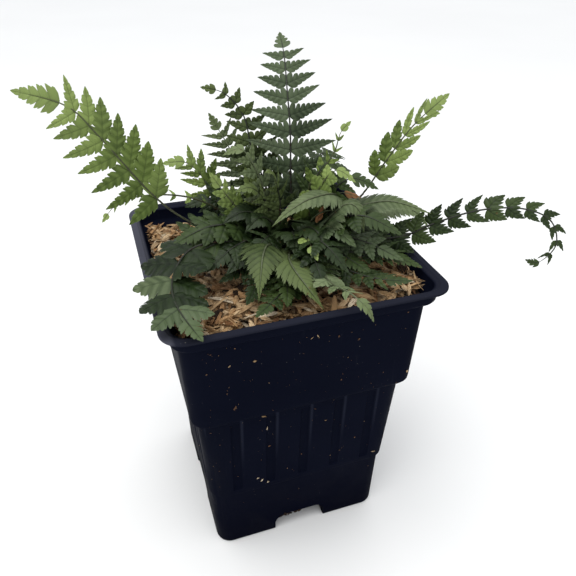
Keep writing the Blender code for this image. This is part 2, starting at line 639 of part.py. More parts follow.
def hull_meshes():
    """Rice hulls sunk in the layer's surface: one near each point of a loose grid."""
    draw = random.Random(HULL_SEED)
    half = PANEL_TOP_HALF - WALL - 0.0035
    pitch = 2 * half / (HULL_ROWS - 1)
    meshes = []
    for i in range(HULL_ROWS):
        for j in range(HULL_ROWS):
            heading = draw.uniform(0, math.pi)
            length = HULL_LENGTH * draw.uniform(0.8, 1.1)
            x = -half + i * pitch + draw.uniform(-0.35, 0.35) * pitch
            y = -half + j * pitch + draw.uniform(-0.35, 0.35) * pitch
            lean = draw.uniform(-0.16, 0.16)
            rise = draw.uniform(0.0002, 0.0009)
            room_x = PANEL_TOP_HALF - WALL - 0.0012 - abs(math.cos(heading)) * length / 2
            room_y = PANEL_TOP_HALF - WALL - 0.0012 - abs(math.sin(heading)) * length / 2
            x = max(-room_x, min(room_x, x))
            y = max(-room_y, min(room_y, y))
            if math.hypot(x - CROWN_X, y - CROWN_Y) < CROWN_RADIUS + length * 0.55:
                continue
            centre = Vector((x, y, mulch_top(x, y) + rise))
            meshes.append(hull_mesh(centre, heading, lean, length, HULL_WIDTH))
    return meshes


def make_mulch(parts, guides, material):
    """The layer of rice hulls on the mix, with a hole for the crown."""
    cells = 8
    mesh = bmesh.new()
    grid = bmesh.ops.create_grid(mesh, x_segments=cells, y_segments=cells,
                                 size=COLLAR_HALF)["verts"]
    for vert in grid:
        vert.co.z = mulch_top(vert.co.x, vert.co.y)
    mulch = add_object(mesh, "mulch", parts, material)
    close_below(mulch, MIX_TOP_Z)
    combine(mulch, "UNION", hull_meshes(), "hulls", guides)
    low = MIX_TOP_Z + GAP
    collar_half = COLLAR_HALF - WALL - 2 * GAP
    room = loft([(low, inner_half(low) - GAP, 0.006),
                 (PANEL_TOP_Z + GAP, inner_half(PANEL_TOP_Z) - GAP, 0.006),
                 (COLLAR_LOW_Z + 0.0020, collar_half, 0.006),
                 (POT_HEIGHT, collar_half, 0.006)])
    combine(mulch, "INTERSECT", [room], "room", guides)
    combine(mulch, "DIFFERENCE", [crown_hole(MIX_TOP_Z - 0.01, MULCH_TOP_Z + 0.02)], "hole", guides)
    shade_smooth(mulch, 20)
    return mulch


def close_below(obj, z):
    """Turns an open sheet into a closed slab with a flat underside."""
    mesh = bmesh.new()
    mesh.from_mesh(obj.data)
    edge = [e for e in mesh.edges if e.is_boundary]
    made = bmesh.ops.extrude_edge_only(mesh, edges=edge)["geom"]
    skirt = [item for item in made if isinstance(item, bmesh.types.BMVert)]
    for vert in skirt:
        vert.co.z = z
    rim = [e for e in mesh.edges if e.is_boundary]
    bmesh.ops.contextual_create(mesh, geom=rim)
    bmesh.ops.recalc_face_normals(mesh, faces=mesh.faces)
    mesh.to_mesh(obj.data)
    mesh.free()


# Fronds

def curve_through(points):
    """A smooth line through the points, straight from the first to the second."""
    line = [points[0]]
    for i in range(1, len(points) - 1):
        before, start, end = points[i - 1], points[i], points[i + 1]
        after = points[min(i + 2, len(points) - 1)]
        for step in range(CURVE_STEPS):
            t = step / CURVE_STEPS
            line.append(0.5 * (2 * start + (end - before) * t
                               + (2 * before - 5 * start + 4 * end - after) * t ** 2
                               + (3 * start - before - 3 * end + after) * t ** 3))
    line.append(points[-1])
    return line


class Line:
    """A frond's rib: its place and direction at a distance from the foot."""

    def __init__(self, frond):
        foot, away = seat_of(frond.ring, frond.bearing)
        self.points = curve_through([foot, foot + away * SEAT_RUN]
                                    + [Vector(p) for p in frond.route])
        self.facing = Vector(frond.facing).normalized()
        self.run = [0.0]
        for a, b in zip(self.points, self.points[1:]):
            self.run.append(self.run[-1] + (b - a).length)
        self.length = self.run[-1]

    def at(self, distance):
        """The point on the rib at this distance."""
        distance = max(0.0, min(self.length, distance))
        i = max(k for k in range(len(self.run) - 1) if self.run[k] <= distance)
        share = (distance - self.run[i]) / (self.run[i + 1] - self.run[i])
        return self.points[i].lerp(self.points[i + 1], share)

    def frame(self, distance):
        """Directions along the rib, to its right, and out of its upper face."""
        reach = 0.002
        along = (self.at(distance + reach) - self.at(distance - reach)).normalized()
        right = along.cross(self.facing).normalized()
        return along, right, right.cross(along).normalized()


def leaflet_places(frond, line):
    """Distances along the rib of the middle of each pair's foot, and their spacing."""
    start = frond.bare * line.length
    blade = line.length - frond.tongue - start
    shares = [1 - (1 - j / frond.pairs) ** 1.12 for j in range(frond.pairs + 1)]
    places = [start + blade * share for share in shares]
    return [(place, after - place) for place, after in zip(places, places[1:])]


def leaflet_length(frond, share):
    """Length of a leaflet whose foot is this share of the blade from its base."""
    full = frond.reach * min(1.0, 0.85 + 1.2 * share)
    return frond.least + (full - frond.least) * (1.0 - share) ** frond.taper


def leaflet_rows(length):
    """Rows across a leaflet, base to tip: place along it, and its half width as a share."""
    if length < ONE_TOOTH_BELOW:
        return ((0.36, 1.0), (1.0, 0.0))
    if length < THREE_TEETH_ABOVE:
        return ((0.26, 1.0), (0.40, 0.74), (0.66, 0.90), (1.0, 0.0))
    return ((0.20, 1.0), (0.31, 0.74), (0.46, 0.96), (0.57, 0.62), (0.74, 0.70), (1.0, 0.0))


class Leaflet(NamedTuple):
    """One leaflet's surface: its points after the two on the rib, and its triangles."""

    points: list
    faces: list  # indices: 0 and 1 are the rib's two points


def leaflet_half(frond, spacing, length, angle):
    """Half width of a leaflet, held in where its foot would reach back over the rib."""
    first = leaflet_rows(length)[0][0]
    room = first * length * math.sin(angle) - STALK_WIDTH / 2
    room /= max(0.05, math.cos(angle))
    return max(LEAST_HALF, min(frond.breadth * spacing * math.sin(angle), room))


def leaflet_frame(line, place, side, angle, lift):
    """Directions out along a leaflet, up from its face, and across it to the frond's tip."""
    along, right, up = line.frame(place)
    flat = math.cos(angle) * along + math.sin(angle) * side * right
    turn = math.radians(lift)
    out = math.cos(turn) * flat + math.sin(turn) * up
    upward = math.cos(turn) * up - math.sin(turn) * flat
    return out, upward, side * upward.cross(out)


def shape_leaflet(frond, line, place, half, side, length, angle, lift):
    """The points of one leaflet that leaves the rib at an angle, lifted by degrees."""
    out, upward, across = leaflet_frame(line, place, side, angle, lift)
    foot = line.at(place)
    points = []
    for share, width in leaflet_rows(length):
        middle = foot + out * length * share - upward * frond.droop * length * share ** 2
        if width:
            lean = 0.05 * length * out
            points.append(middle + across * half * width + lean)
            points.append(middle - across * half * width + lean)
        else:
            points.append(middle)
    return points, upward


def leaflet_faces(count, side):
    """Triangles over the two foot points and the leaflet's own, turned to face up."""
    faces = []
    last = count + 1
    for row in range(0, last - 2, 2):
        far, near, far_next, near_next = row, row + 1, row + 2, row + 3
        faces.append((far, near, near_next))
        faces.append((far, near_next, far_next))
    faces.append((last - 2, last - 1, last))
    return faces if side > 0 else [tuple(reversed(face)) for face in faces]


def slab(points, faces, upward, half):
    """The leaflet as a closed slab, for tests against its neighbours."""
    count = len(points)
    solid = [p + upward * half for p in points] + [p - upward * half for p in points]
    polygons = [tuple(face) for face in faces]
    polygons += [tuple(count + i for i in reversed(face)) for face in faces]
    edges = [tuple(sorted(pair)) for face in faces for pair in zip(face, face[1:] + face[:1])]
    for a, b in sorted({edge for edge in edges if edges.count(edge) == 1}):
        polygons.append((a, b, count + b, count + a))
    return solid, polygons


def rib_size(share):
    """Width and thickness of the stalk and rib, foot to tip."""
    ease = share ** 1.3
    return (STALK_WIDTH + (RIB_END_WIDTH - STALK_WIDTH) * ease,
            STALK_THICKNESS + (RIB_END_THICKNESS - STALK_THICKNESS) * ease)


def rib_stations(frond, line):
    """Distances along the rib of its cross rows, and which pair of leaflets starts at each."""
    places = leaflet_places(frond, line)
    stations = [(0.0, None), (SEAT_RUN, None)]
    bare = places[0][0] - SEAT_RUN
    steps = max(1, round(bare / STALK_STEP))
    stations += [(SEAT_RUN + bare * k / steps, None) for k in range(1, steps)]
    for j, (place, spacing) in enumerate(places):
        foot_half = min(0.0009, 0.26 * spacing)
        stations.append((place - foot_half, j))
        stations.append((place + foot_half, None))
    stations.append((line.length - frond.tongue, None))
    return stations


def rib_rows(frond, line):
    """Right point, left point, up direction and thickness at each cross row."""
    rows = []
    for distance, _ in rib_stations(frond, line):
        _, right, up = line.frame(distance)
        width, thickness = rib_size(distance / line.length)
        centre = line.at(distance)
        rows.append((centre + right * width / 2, centre - right * width / 2, up, thickness))
    return rows


def rib_box(frond, line, more):
    """The stalk and rib as a box tube, for tests against neighbours."""
    points = []
    polygons = []
    for right, left, up, thickness in rib_rows(frond, line):
        rise = up * (thickness / 2 + more)
        wide = (right - left).normalized() * more
        points += [right + wide + rise, left - wide + rise, left - wide - rise, right + wide - rise]
    for k in range(len(points) // 4 - 1):
        for i in range(4):
            j = (i + 1) % 4
            polygons.append((4 * k + i, 4 * k + j, 4 * k + 4 + j, 4 * k + 4 + i))
    return points, polygons


class Neighbours:
    """The surfaces that a new leaflet has to keep clear of."""

    def __init__(self):
        self.shapes = {}
        self.trees = {}

    def add(self, owner, points, polygons):
        """Adds a closed shape that belongs to one piece."""
        have_points, have_polygons = self.shapes.setdefault(owner, ([], []))
        first = len(have_points)
        have_points += points
        have_polygons += [tuple(first + i for i in polygon) for polygon in polygons]
        self.trees.pop(owner, None)

    def tree(self, owner):
        """The search tree of one piece."""
        if owner not in self.trees:
            self.trees[owner] = BVHTree.FromPolygons(*self.shapes[owner])
        return self.trees[owner]

    def clear(self, points, polygons, skip):
        """Whether the shape meets no piece but the one that is skipped."""
        shape = BVHTree.FromPolygons(points, polygons)
        return not any(shape.overlap(self.tree(owner)) for owner in self.shapes if owner != skip)


def tongue_rows(frond):
    """Rows across the toothed tip: place as a share of it, and half width."""
    teeth = max(1, round(frond.tongue / TONGUE_TOOTH))
    widest = min(0.62 * frond.least, 0.30 * frond.tongue)
    rows = []
    for tooth in range(teeth):
        out = (tooth + 0.50) / (teeth + 0.35)
        inward = (tooth + 0.85) / (teeth + 0.35)
        rows.append((out, widest * (1.0 - out) ** 0.7))
        if tooth < teeth - 1:
            rows.append((inward, 0.6 * widest * (1.0 - inward) ** 0.7))
    return rows + [(1.0, 0.0)]


def tongue_points(frond, line):
    """The points of the toothed tip, in pairs from its base, and its last point."""
    points = []
    for share, half in tongue_rows(frond):
        distance = line.length - frond.tongue * (1.0 - share)
        across = line.frame(distance)[1]
        sides = (1, -1) if half else (0,)
        points += [line.at(distance) + across * half * side for side in sides]
    return points


def tongue_slab(frond, line):
    """The toothed tip as a closed slab, for tests against its neighbours."""
    points = tongue_points(frond, line)
    faces = [(i, i + 1, i + 3, i + 2) for i in range(0, len(points) - 3, 2)]
    faces.append((len(points) - 3, len(points) - 2, len(points) - 1))
    _, _, up = line.frame(line.length - frond.tongue / 2)
    return slab(points, faces, up, BLADE_THICKNESS / 2 + LEAFLET_CLEARANCE)


def foot_points(frond, line):
    """The two points of the rib's edge that each leaflet grows from, by pair and side."""
    rows = rib_rows(frond, line)
    feet = {}
    for k, (_, pair) in enumerate(rib_stations(frond, line)):
        if pair is not None:
            feet[pair, 1] = [rows[k + 1][0], rows[k][0]]
            feet[pair, -1] = [rows[k + 1][1], rows[k][1]]
    return feet


def place_leaflets(frond, line, neighbours):
    """The leaflets of a frond, each bent clear of what is already there.

    A leaflet that has no room in any of the ways to bend is left out.
    """
    leaflets = {}
    feet = foot_points(frond, line)
    start = frond.bare * line.length
    for j, (place, spacing) in enumerate(leaflet_places(frond, line)):
        share = (place - start) / (line.length - frond.tongue - start)
        for side in (1, -1):
            angle = math.radians(frond.angle - ANGLE_LOSS * share - frond.skew * side)
            for lift, scale in BENDS:
                length = leaflet_length(frond, share) * scale
                half = leaflet_half(frond, spacing, length, angle)
                points, upward = shape_leaflet(frond, line, place, half, side, length, angle, lift)
                faces = leaflet_faces(len(points), side)
                whole = feet[j, side] + points
                solid = slab(whole, faces, upward, BLADE_THICKNESS / 2)
                wide = slab(whole, faces, upward, BLADE_THICKNESS / 2 + LEAFLET_CLEARANCE)
                if neighbours.clear(*wide, frond.name):
                    neighbours.add(f"{frond.name} leaflets", *solid)
                    leaflets[j, side] = Leaflet(points, faces)
                    break
    return leaflets


def frond_surface(frond, line, leaflets):
    """The frond as one open surface, with its thickness at each point as a weight."""
    mesh = bmesh.new()
    weight = mesh.verts.layers.deform.verify()
    rows = []
    for right, left, _, thickness in rib_rows(frond, line):
        row = (mesh.verts.new(right), mesh.verts.new(left))
        for vert in row:
            vert[weight][0] = thickness / STALK_THICKNESS
        rows.append(row)
    for (right, left), (next_right, next_left) in zip(rows, rows[1:]):
        mesh.faces.new((right, next_right, next_left))
        mesh.faces.new((right, next_left, left))
    for k, (_, pair) in enumerate(rib_stations(frond, line)):
        for side in (1, -1):
            if pair is None or (pair, side) not in leaflets:
                continue
            leaflet = leaflets[pair, side]
            column = 0 if side > 0 else 1
            verts = [rows[k + 1][column], rows[k][column]]
            for point in leaflet.points:
                vert = mesh.verts.new(point)
                vert[weight][0] = BLADE_THICKNESS / STALK_THICKNESS
                verts.append(vert)
            for face in leaflet.faces:
                mesh.faces.new([verts[i] for i in face])
    right, left = rows[-1]
    tongue = [mesh.verts.new(point) for point in tongue_points(frond, line)]
    for vert in tongue:
        vert[weight][0] = BLADE_THICKNESS / STALK_THICKNESS
    for next_right, next_left in zip(tongue[:-1:2], tongue[1::2]):
        mesh.faces.new((right, next_right, next_left))
        mesh.faces.new((right, next_left, left))
        right, left = next_right, next_left
    mesh.faces.new((right, tongue[-1], left))
    return mesh


def make_frond(frond, line, leaflets, parts, material):
    """One frond: its surface given thickness, full at the stalk and thin in the leaflets."""
    mesh = frond_surface(frond, line, leaflets)
    data = bpy.data.meshes.new(frond.name)
    mesh.to_mesh(data)
    mesh.free()
    obj = bpy.data.objects.new(frond.name, data)
    parts.objects.link(obj)
    data.materials.append(material)
    obj.vertex_groups.new(name="thickness")
    solid = obj.modifiers.new("thickness", "SOLIDIFY")
    solid.thickness = STALK_THICKNESS
    solid.offset = 0.0
    solid.vertex_group = "thickness"
    solid.thickness_vertex_group = 0.0
    return obj


def make_fronds(parts, solids, materials):
    """Every frond, in order, each leaflet bent clear of the earlier ones."""
    neighbours = Neighbours()
    for solid in solids:
        data = solid.data
        neighbours.add(solid.name, [v.co.copy() for v in data.vertices],
                       [tuple(p.vertices) for p in data.polygons])
    lines = {frond.name: Line(frond) for frond in FRONDS}
    for frond in FRONDS:
        neighbours.add(frond.name, *rib_box(frond, lines[frond.name], GAP))
        neighbours.add(f"{frond.name} tongue", *tongue_slab(frond, lines[frond.name]))
    for frond in FRONDS:
        line = lines[frond.name]
        leaflets = place_leaflets(frond, line, neighbours)
        make_frond(frond, line, leaflets, parts, materials[frond.leaf])


def main():
    for obj in list(bpy.data.objects):
        bpy.data.objects.remove(obj)
    parts = bpy.data.collections.new("potted_korean_rock_fern")
    guides = bpy.data.collections.new("guides")
    bpy.context.scene.collection.children.link(parts)
    bpy.context.scene.collection.children.link(guides)
    materials = make_materials()
    pot = make_pot(parts, guides, materials["pot"])
    make_soil(parts, guides, materials["mix"])
    mulch = make_mulch(parts, guides, materials["hulls"])
    crown = make_crown(parts, guides, materials["crown"])
    make_fronds(parts, (pot, mulch, crown), materials)


main()
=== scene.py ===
"""The looks of a potted Korean rock fern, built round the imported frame.

Metres, +Z up. The front of the pot faces -Y and its right side faces +X.
"""

import math
import random
from typing import NamedTuple

import bmesh
import bpy
import numpy as np
from mathutils import Matrix, Vector
from mathutils.bvhtree import BVHTree


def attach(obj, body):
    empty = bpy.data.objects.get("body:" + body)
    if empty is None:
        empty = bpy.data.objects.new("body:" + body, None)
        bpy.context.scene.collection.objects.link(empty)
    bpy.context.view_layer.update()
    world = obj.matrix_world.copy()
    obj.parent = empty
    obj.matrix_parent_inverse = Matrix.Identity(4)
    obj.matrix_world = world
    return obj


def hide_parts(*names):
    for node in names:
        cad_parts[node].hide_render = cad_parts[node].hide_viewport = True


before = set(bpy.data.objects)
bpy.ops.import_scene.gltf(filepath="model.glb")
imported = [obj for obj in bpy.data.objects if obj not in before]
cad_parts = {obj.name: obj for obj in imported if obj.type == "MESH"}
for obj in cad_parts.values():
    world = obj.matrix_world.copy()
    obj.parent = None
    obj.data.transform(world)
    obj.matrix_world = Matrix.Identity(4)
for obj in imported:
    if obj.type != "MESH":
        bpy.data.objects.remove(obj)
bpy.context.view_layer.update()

# Sizes of the solids, in metres
POT_HEIGHT = 0.1305
RIM_DEPTH = 0.0013
LIP_WIDTH = 0.0025
RIM_HALF = 0.053
COLLAR_HALF = 0.0498
PANEL_TOP_HALF = 0.0470
PANEL_LOW_HALF = 0.0456
STEP_HALF = 0.0427
BASE_HALF = 0.0387
CORNER_RADIUS = 0.0065
WALL = 0.0013
COLLAR_LOW_Z = 0.1240
PANEL_TOP_Z = 0.1215
STEP_Z = 0.083
FOOT_Z = 0.034
FOOT_INSET = 0.0009
GROOVES_A_SIDE = 5
GROOVE_SPACING = 0.0145
GROOVE_WIDTH = 0.0050
GROOVE_DEPTH = 0.0011
GROOVE_LOW_Z = 0.037
GROOVE_HIGH_Z = 0.0795
NOTCH_WIDTH = 0.024
NOTCH_HEIGHT = 0.0095
NOTCH_DEPTH = 0.014
NOTCH_ROUNDING = 0.005
DRAIN_RADIUS = 0.003
DRAIN_OFFSET = 0.019
MULCH_TOP_Z = 0.1215
HEAP_START = 0.028
HEAP_RUN = 0.018
HEAP_RISE = 0.0045
CROWN_X = 0.007
CROWN_Y = 0.002
CROWN_RADIUS = 0.0134
CROWN_TOP_Z = 0.1262
SEATS = {"inner": (0.0050, 10.0), "outer": (0.0104, 30.0)}  # ring radius, degrees of tilt
SEAT_Z = 0.1195
SEAT_RUN = 0.0080
STALK_WIDTH = 0.0015
STALK_THICKNESS = 0.0016
RIB_END_WIDTH = 0.0007
RIB_END_THICKNESS = 0.0008
CURVE_STEPS = 14
PAIR_CROWDING = 1.12
ONE_TOOTH_BELOW = 0.0078
THREE_TEETH_ABOVE = 0.0165
LEAST_HALF = 0.0004
ANGLE_LOSS = 20.0
# Bends that keep leaflets clear of their neighbours: lift in degrees, share of the length left
BENDS = ((0, 1.0), (12, 1.0), (-12, 1.0), (24, 1.0), (-24, 1.0), (36, 1.0), (-36, 1.0), (50, 1.0),
         (65, 0.75), (-50, 0.5), (75, 0.5))

# One lobe of a blade's edge: place along it, and how far it fills to the edge
ROUND = ((0.0, 0.0), (0.10, 0.52), (0.25, 0.84), (0.48, 1.0), (0.70, 0.96), (0.86, 0.76),
         (0.95, 0.40))
SAW = ((0.0, 0.0), (0.20, 0.34), (0.45, 0.62), (0.70, 0.85), (0.90, 1.0), (0.97, 0.50))
DOUBLE = ((0.0, 0.0), (0.12, 0.44), (0.28, 0.74), (0.40, 0.83), (0.48, 0.68), (0.70, 0.95),
          (0.86, 1.0), (0.96, 0.45))
NEEDLES = ((0.0, 0.0), (0.07, 0.46), (0.24, 0.68), (0.30, 0.46), (0.50, 0.88), (0.56, 0.62),
           (0.78, 1.0), (0.84, 0.76), (0.92, 0.90), (0.98, 0.34))


class Style(NamedTuple):
    """How the blades of a frond are cut: lengths in metres, the rest as shares."""

    edge: tuple  # the outline of one lobe
    tooth: float  # length of a lobe along the edge
    cut: float  # depth of the cuts on the side to the frond's tip
    under: float  # depth of the cuts on the other side, as a share of that
    width: float  # half width against half the spacing
    auricle: float  # extra width of the first lobe on the tip side
    full: float  # 1 narrows in a straight line to the tip, more keeps it fuller
    vein: float  # height of the puffs between the veins
    cup: float  # fall of the edges
    hook: float  # curve towards the frond's tip
    bias: float = 0.0  # extra width of the leaflets of the right side


LOBED = Style(ROUND, 0.0023, 0.58, 0.32, 1.16, 0.45, 1.20, 0.00022, 0.12, -0.02)
FRESH = Style(DOUBLE, 0.0028, 0.50, 0.80, 1.55, 0.30, 1.35, 0.00018, 0.12, 0.02, 0.28)
SHARP = Style(DOUBLE, 0.0024, 0.44, 0.80, 1.50, 0.30, 1.50, 0.00020, 0.14, 0.06)
COMB = Style(SAW, 0.0017, 0.46, 0.70, 1.85, 0.25, 1.05, 0.00014, 0.10, 0.30)
FINGERS = Style(DOUBLE, 0.0026, 0.36, 0.90, 1.90, 0.10, 1.90, 0.00028, 0.22, 0.14)
BROAD = Style(DOUBLE, 0.0034, 0.48, 0.95, 1.90, 0.40, 2.00, 0.00034, 0.26, 0.06)
YOUNG = Style(ROUND, 0.0021, 0.36, 0.80, 1.50, 0.20, 2.00, 0.00018, 0.12, 0.05)
OBLONG = Style(DOUBLE, 0.0030, 0.42, 0.90, 2.10, 0.10, 2.60, 0.00020, 0.14, 0.14)


class Frond(NamedTuple):
    """One frond: how it looks, where it stands, how it runs, and how its leaflets are set."""

    name: str
    style: Style  # cut of its leaflets
    look: str  # key of its leaf colour
    leaf: str  # key of its stalk's colour and of its solid's slot
    ring: str  # ring of the crown that it stands in
    bearing: float  # degrees round the crown, 0 at the back and 90 at the right
    route: tuple  # points from the crown to the tip
    facing: tuple  # where the upper face looks
    pairs: int  # pairs of leaflets
    reach: float  # length of the longest leaflets
    least: float  # length of the last leaflets before the tip
    tongue: float  # length of the toothed tip, in one piece
    bare: float  # share of the whole length without leaflets
    angle: float  # degrees between the rib and the first leaflets
    taper: float  # 1 narrows in a straight line to the tip, less keeps it fuller
    droop: float  # drop of a leaflet's tip, as a share of its length
    breadth: float = 0.48  # half width of a leaflet, as a share of the pairs' spacing
    skew: float = 0.0  # degrees that the leaflets of the right side lean to the tip
    bends: str = ""  # number of each leaflet's bend (base 16), right and left by pairs


def in_metres(frond):
    """A frond whose lengths are given in millimetres, in metres."""
    return frond._replace(
        route=[tuple(v / 1000 for v in point) for point in frond.route],
        reach=frond.reach / 1000, least=frond.least / 1000, tongue=frond.tongue / 1000)


# Lengths in millimetres
FRONDS = [in_metres(frond) for frond in (
    Frond("frond_upright", LOBED, "mature", "mature", "inner", 20, ((10, 6, 138), (10, 8, 152),
          (11, 12, 172), (12, 19, 186), (14, 29, 197), (16, 41, 203)), (-0.3, -0.85, 0.4), 10,
          21.5, 5, 10, 0.27, 84, 0.6, 0.06),
    Frond("frond_long_left", FRESH, "fresh", "fresh", "outer", 252, ((-16, -1, 136),
          (-33, 0, 146), (-45, 1, 158), (-59, 0, 180), (-68, 0, 192), (-83, 0, 198)),
          (0.05, -0.9, 0.42), 7, 16.5, 9.5, 14, 0.49, 72, 0.6, 0.05, 0.5, 15,
          bends="00000000000001"),
    Frond("frond_right_up", OBLONG, "fresh", "fresh", "outer", 54, ((28, 8, 133), (41, 7, 143),
          (50, 5, 158), (60, 3, 173), (74, 3, 184)), (-0.5, -0.8, 0.3), 5, 12.5, 8.5, 12, 0.52,
          44, 0.6, 0, bends="0000000010"),
    Frond("frond_right_droop", COMB, "deep", "mature", "outer", 90, ((30, -9, 132),
          (47, -19, 136), (58, -26, 144), (70, -34, 151), (83, -41, 153), (93, -46, 149),
          (97, -48, 139), (93, -46, 131), (88, -44, 132)), (-0.45, -0.75, 0.5), 13, 10.5, 4.2, 6,
          0.26, 62, 0.9, 0.05, bends="00100000000000000000000000"),
    Frond("frond_back_left", LOBED, "olive", "mature", "inner", 335, ((4, 14, 140), (1, 18, 153),
          (-3, 19, 165), (-5, 21, 177), (-12, 22, 186), (-21, 22, 189)), (-0.35, -0.8, 0.5), 9,
          16.5, 3.5, 6, 0.33, 75, 1, 0.1, bends="000000000000300000"),
    Frond("frond_back_pale", LOBED, "mid", "mid", "outer", 342, ((1, 22, 137), (-3, 36, 148),
          (-8, 41, 160), (-14, 46, 172)), (-0.15, -0.7, 0.7), 8, 15, 6, 8, 0.36, 75, 0.45, 0.12),
    Frond("frond_unfurling", YOUNG, "fresh", "fresh", "inner", 65, ((15, 3, 142), (16, 2, 154),
          (21, 1, 160), (25, 0, 167), (27, 0, 174), (31, 0, 178)), (-0.5, -0.7, 0.5), 5, 7, 2.5,
          5, 0.56, 50, 0.9, -0.15),
    Frond("frond_arch_left", FINGERS, "mid", "mid", "inner", 110, ((18, -2, 138),
          (26.5, -4, 147.5), (21, -8.5, 153.5), (10, -12.5, 154.5), (1, -15.5, 152),
          (-6, -17.5, 148)), (0.05, -0.2, 1), 3, 10.5, 8.5, 18, 0.47, 70, 0.5, 0.18),
    Frond("frond_arch_right", FINGERS, "mid", "mid", "inner", 155, ((15, -8, 138),
          (20.5, -12.5, 147.5), (25, -15.5, 152), (28.5, -18.5, 149.5), (29.5, -21.5, 142)),
          (0.05, -0.2, 1), 3, 13, 8.5, 15, 0.44, 68, 0.5, 0.2),
    Frond("frond_star", FINGERS, "olive", "mid", "outer", 198, ((-2, -11, 135), (-7, -16, 140),
          (-11, -23, 140), (-14, -30, 136), (-17, -37, 129)), (-0.1, -0.35, 1), 3, 12.5, 8.5, 14,
          0.4, 82, 0.4, 0.12),
    Frond("frond_front", FINGERS, "olive", "mid", "outer", 162, ((6, -11, 132.5), (0, -20, 137),
          (-2, -29, 137.5), (0, -39, 134.5), (4, -46.5, 128.5)), (0.1, -0.35, 1), 3, 13.5, 9, 15,
          0.38, 78, 0.4, 0.12),
    Frond("frond_rim", SHARP, "mid", "mid", "outer", 126, ((14, -16, 132), (10, -30, 133),
          (8, -42, 136), (10, -53, 138.5), (13.5, -59.5, 136), (15.5, -61, 131)), (0.1, -0.3, 1),
          5, 10, 4, 10, 0.4, 62, 0.8, 0.15, bends="5000000000"),
    Frond("frond_left_corner", BROAD, "painted_shade", "mature", "outer", 234, ((-8, -8, 136),
          (-24, -9, 140.5), (-36, -13, 141), (-44, -25, 138.5), (-45.5, -40, 137),
          (-41, -60, 136)), (0.05, -0.2, 1), 5, 13.5, 10.5, 12, 0.48, 80, 0.45, 0.1,
          bends="0003000000"),
    Frond("frond_left", BROAD, "deep", "mature", "outer", 270, ((-10, 1, 131), (-21, 3, 137),
          (-32, 2, 138.5), (-43, -1, 135)), (0.1, -0.55, 0.85), 5, 14, 7.5, 10, 0.34, 76, 0.5,
          0.06, bends="1220010000"),
    Frond("frond_left_back", FRESH, "fresh", "fresh", "outer", 324, ((-11, 17, 134),
          (-19, 21, 144), (-23, 23, 154), (-29, 24, 160), (-38, 25, 160)), (0.1, -0.75, 0.65), 4,
          12, 7, 9, 0.58, 62, 0.6, 0.1, bends="00000101"),
    Frond("frond_thin_left", YOUNG, "fresh", "fresh", "outer", 288, ((-13, 9, 139),
          (-28, 10, 150), (-44, 9, 154.5), (-57, 8, 153.5), (-64, 7, 147)), (0.1, -0.55, 0.85), 7,
          3.8, 2.2, 4, 0.46, 60, 0.4, 0.1),
    Frond("frond_right_pale", FINGERS, "mid", "mid", "outer", 72, ((30, 0, 135), (38, -4, 141),
          (48, -8, 144.5), (57, -12, 142), (63, -15, 134.5)), (0.05, -0.45, 0.9), 5, 12.5, 7.5,
          13, 0.38, 70, 0.55, 0.15),
    Frond("frond_right_mulch", SHARP, "deep", "mature", "outer", 108, ((25, -10, 130.5),
          (33, -19, 133), (40, -28, 133.5), (47, -37, 132)), (0.1, -0.2, 1), 5, 14, 7, 12, 0.34,
          66, 0.6, 0.05, bends="0404030100"),
    Frond("frond_right_low", SHARP, "deep", "mature", "outer", 144, ((17, -17, 130),
          (21, -29, 131), (28, -39, 132), (39, -45, 132.5)), (0.1, -0.2, 1), 6, 12.5, 6, 10, 0.34,
          62, 0.6, 0.05, bends="044060000000"),
    Frond("frond_left_low", SHARP, "painted_shade", "mature", "outer", 216, ((-8, -12, 130),
          (-16, -15, 131), (-27, -19, 129)), (0, -0.2, 1), 4, 11, 6, 9, 0.36, 68, 0.6, 0.04,
          bends="80000000"),
    Frond("frond_left_dark", SHARP, "painted_shade", "mature", "outer", 306, ((-8, 12, 135),
          (-15, 14, 143), (-23, 15, 147), (-32, 15, 145)), (0.05, -0.6, 0.8), 5, 15, 7, 10, 0.36,
          68, 0.6, 0.1, bends="0034180410"),
    Frond("frond_young_left", YOUNG, "fresh", "fresh", "inner", 245, ((-5, 2, 137), (-12, 3, 145),
          (-18, 4, 154), (-23, 6, 162)), (0.2, -0.8, 0.5), 5, 8.5, 4.5, 7, 0.44, 62, 0.6, 0.05),
    Frond("frond_young_mid", YOUNG, "fresh", "fresh", "inner", 290, ((-2, 5, 138), (-4, 6, 147),
          (-7, 6, 155), (-9, 7, 162)), (0.1, -0.8, 0.5), 5, 8, 4.5, 7, 0.44, 62, 0.6, 0.05,
          bends="0209010000"),
    Frond("frond_shade", SHARP, "painted_shade", "mature", "inner", 200, ((8, -9, 135), (10, -17, 141),
          (13, -27, 141), (17, -36, 135)), (0.2, -0.4, 1), 4, 14.5, 8, 12, 0.38, 76, 0.6, 0.15,
          bends="50040700"),
    Frond("frond_small_front", SHARP, "deep", "mature", "outer", 180, ((5, -17, 130),
          (-3, -28, 129), (-12, -37, 129), (-20, -44, 129)), (0, -0.15, 1), 5, 10, 5, 9, 0.36, 70,
          0.6, 0.03),
    Frond("frond_back_right", LOBED, "deep", "mature", "outer", 27, ((14, 18, 137), (21, 26, 146),
          (31, 35, 151), (42, 43, 150), (50, 50, 143)), (-0.05, -0.25, 1), 7, 16, 6, 12, 0.34, 70,
          0.6, 0.12, bends="01000000000000"),
)]


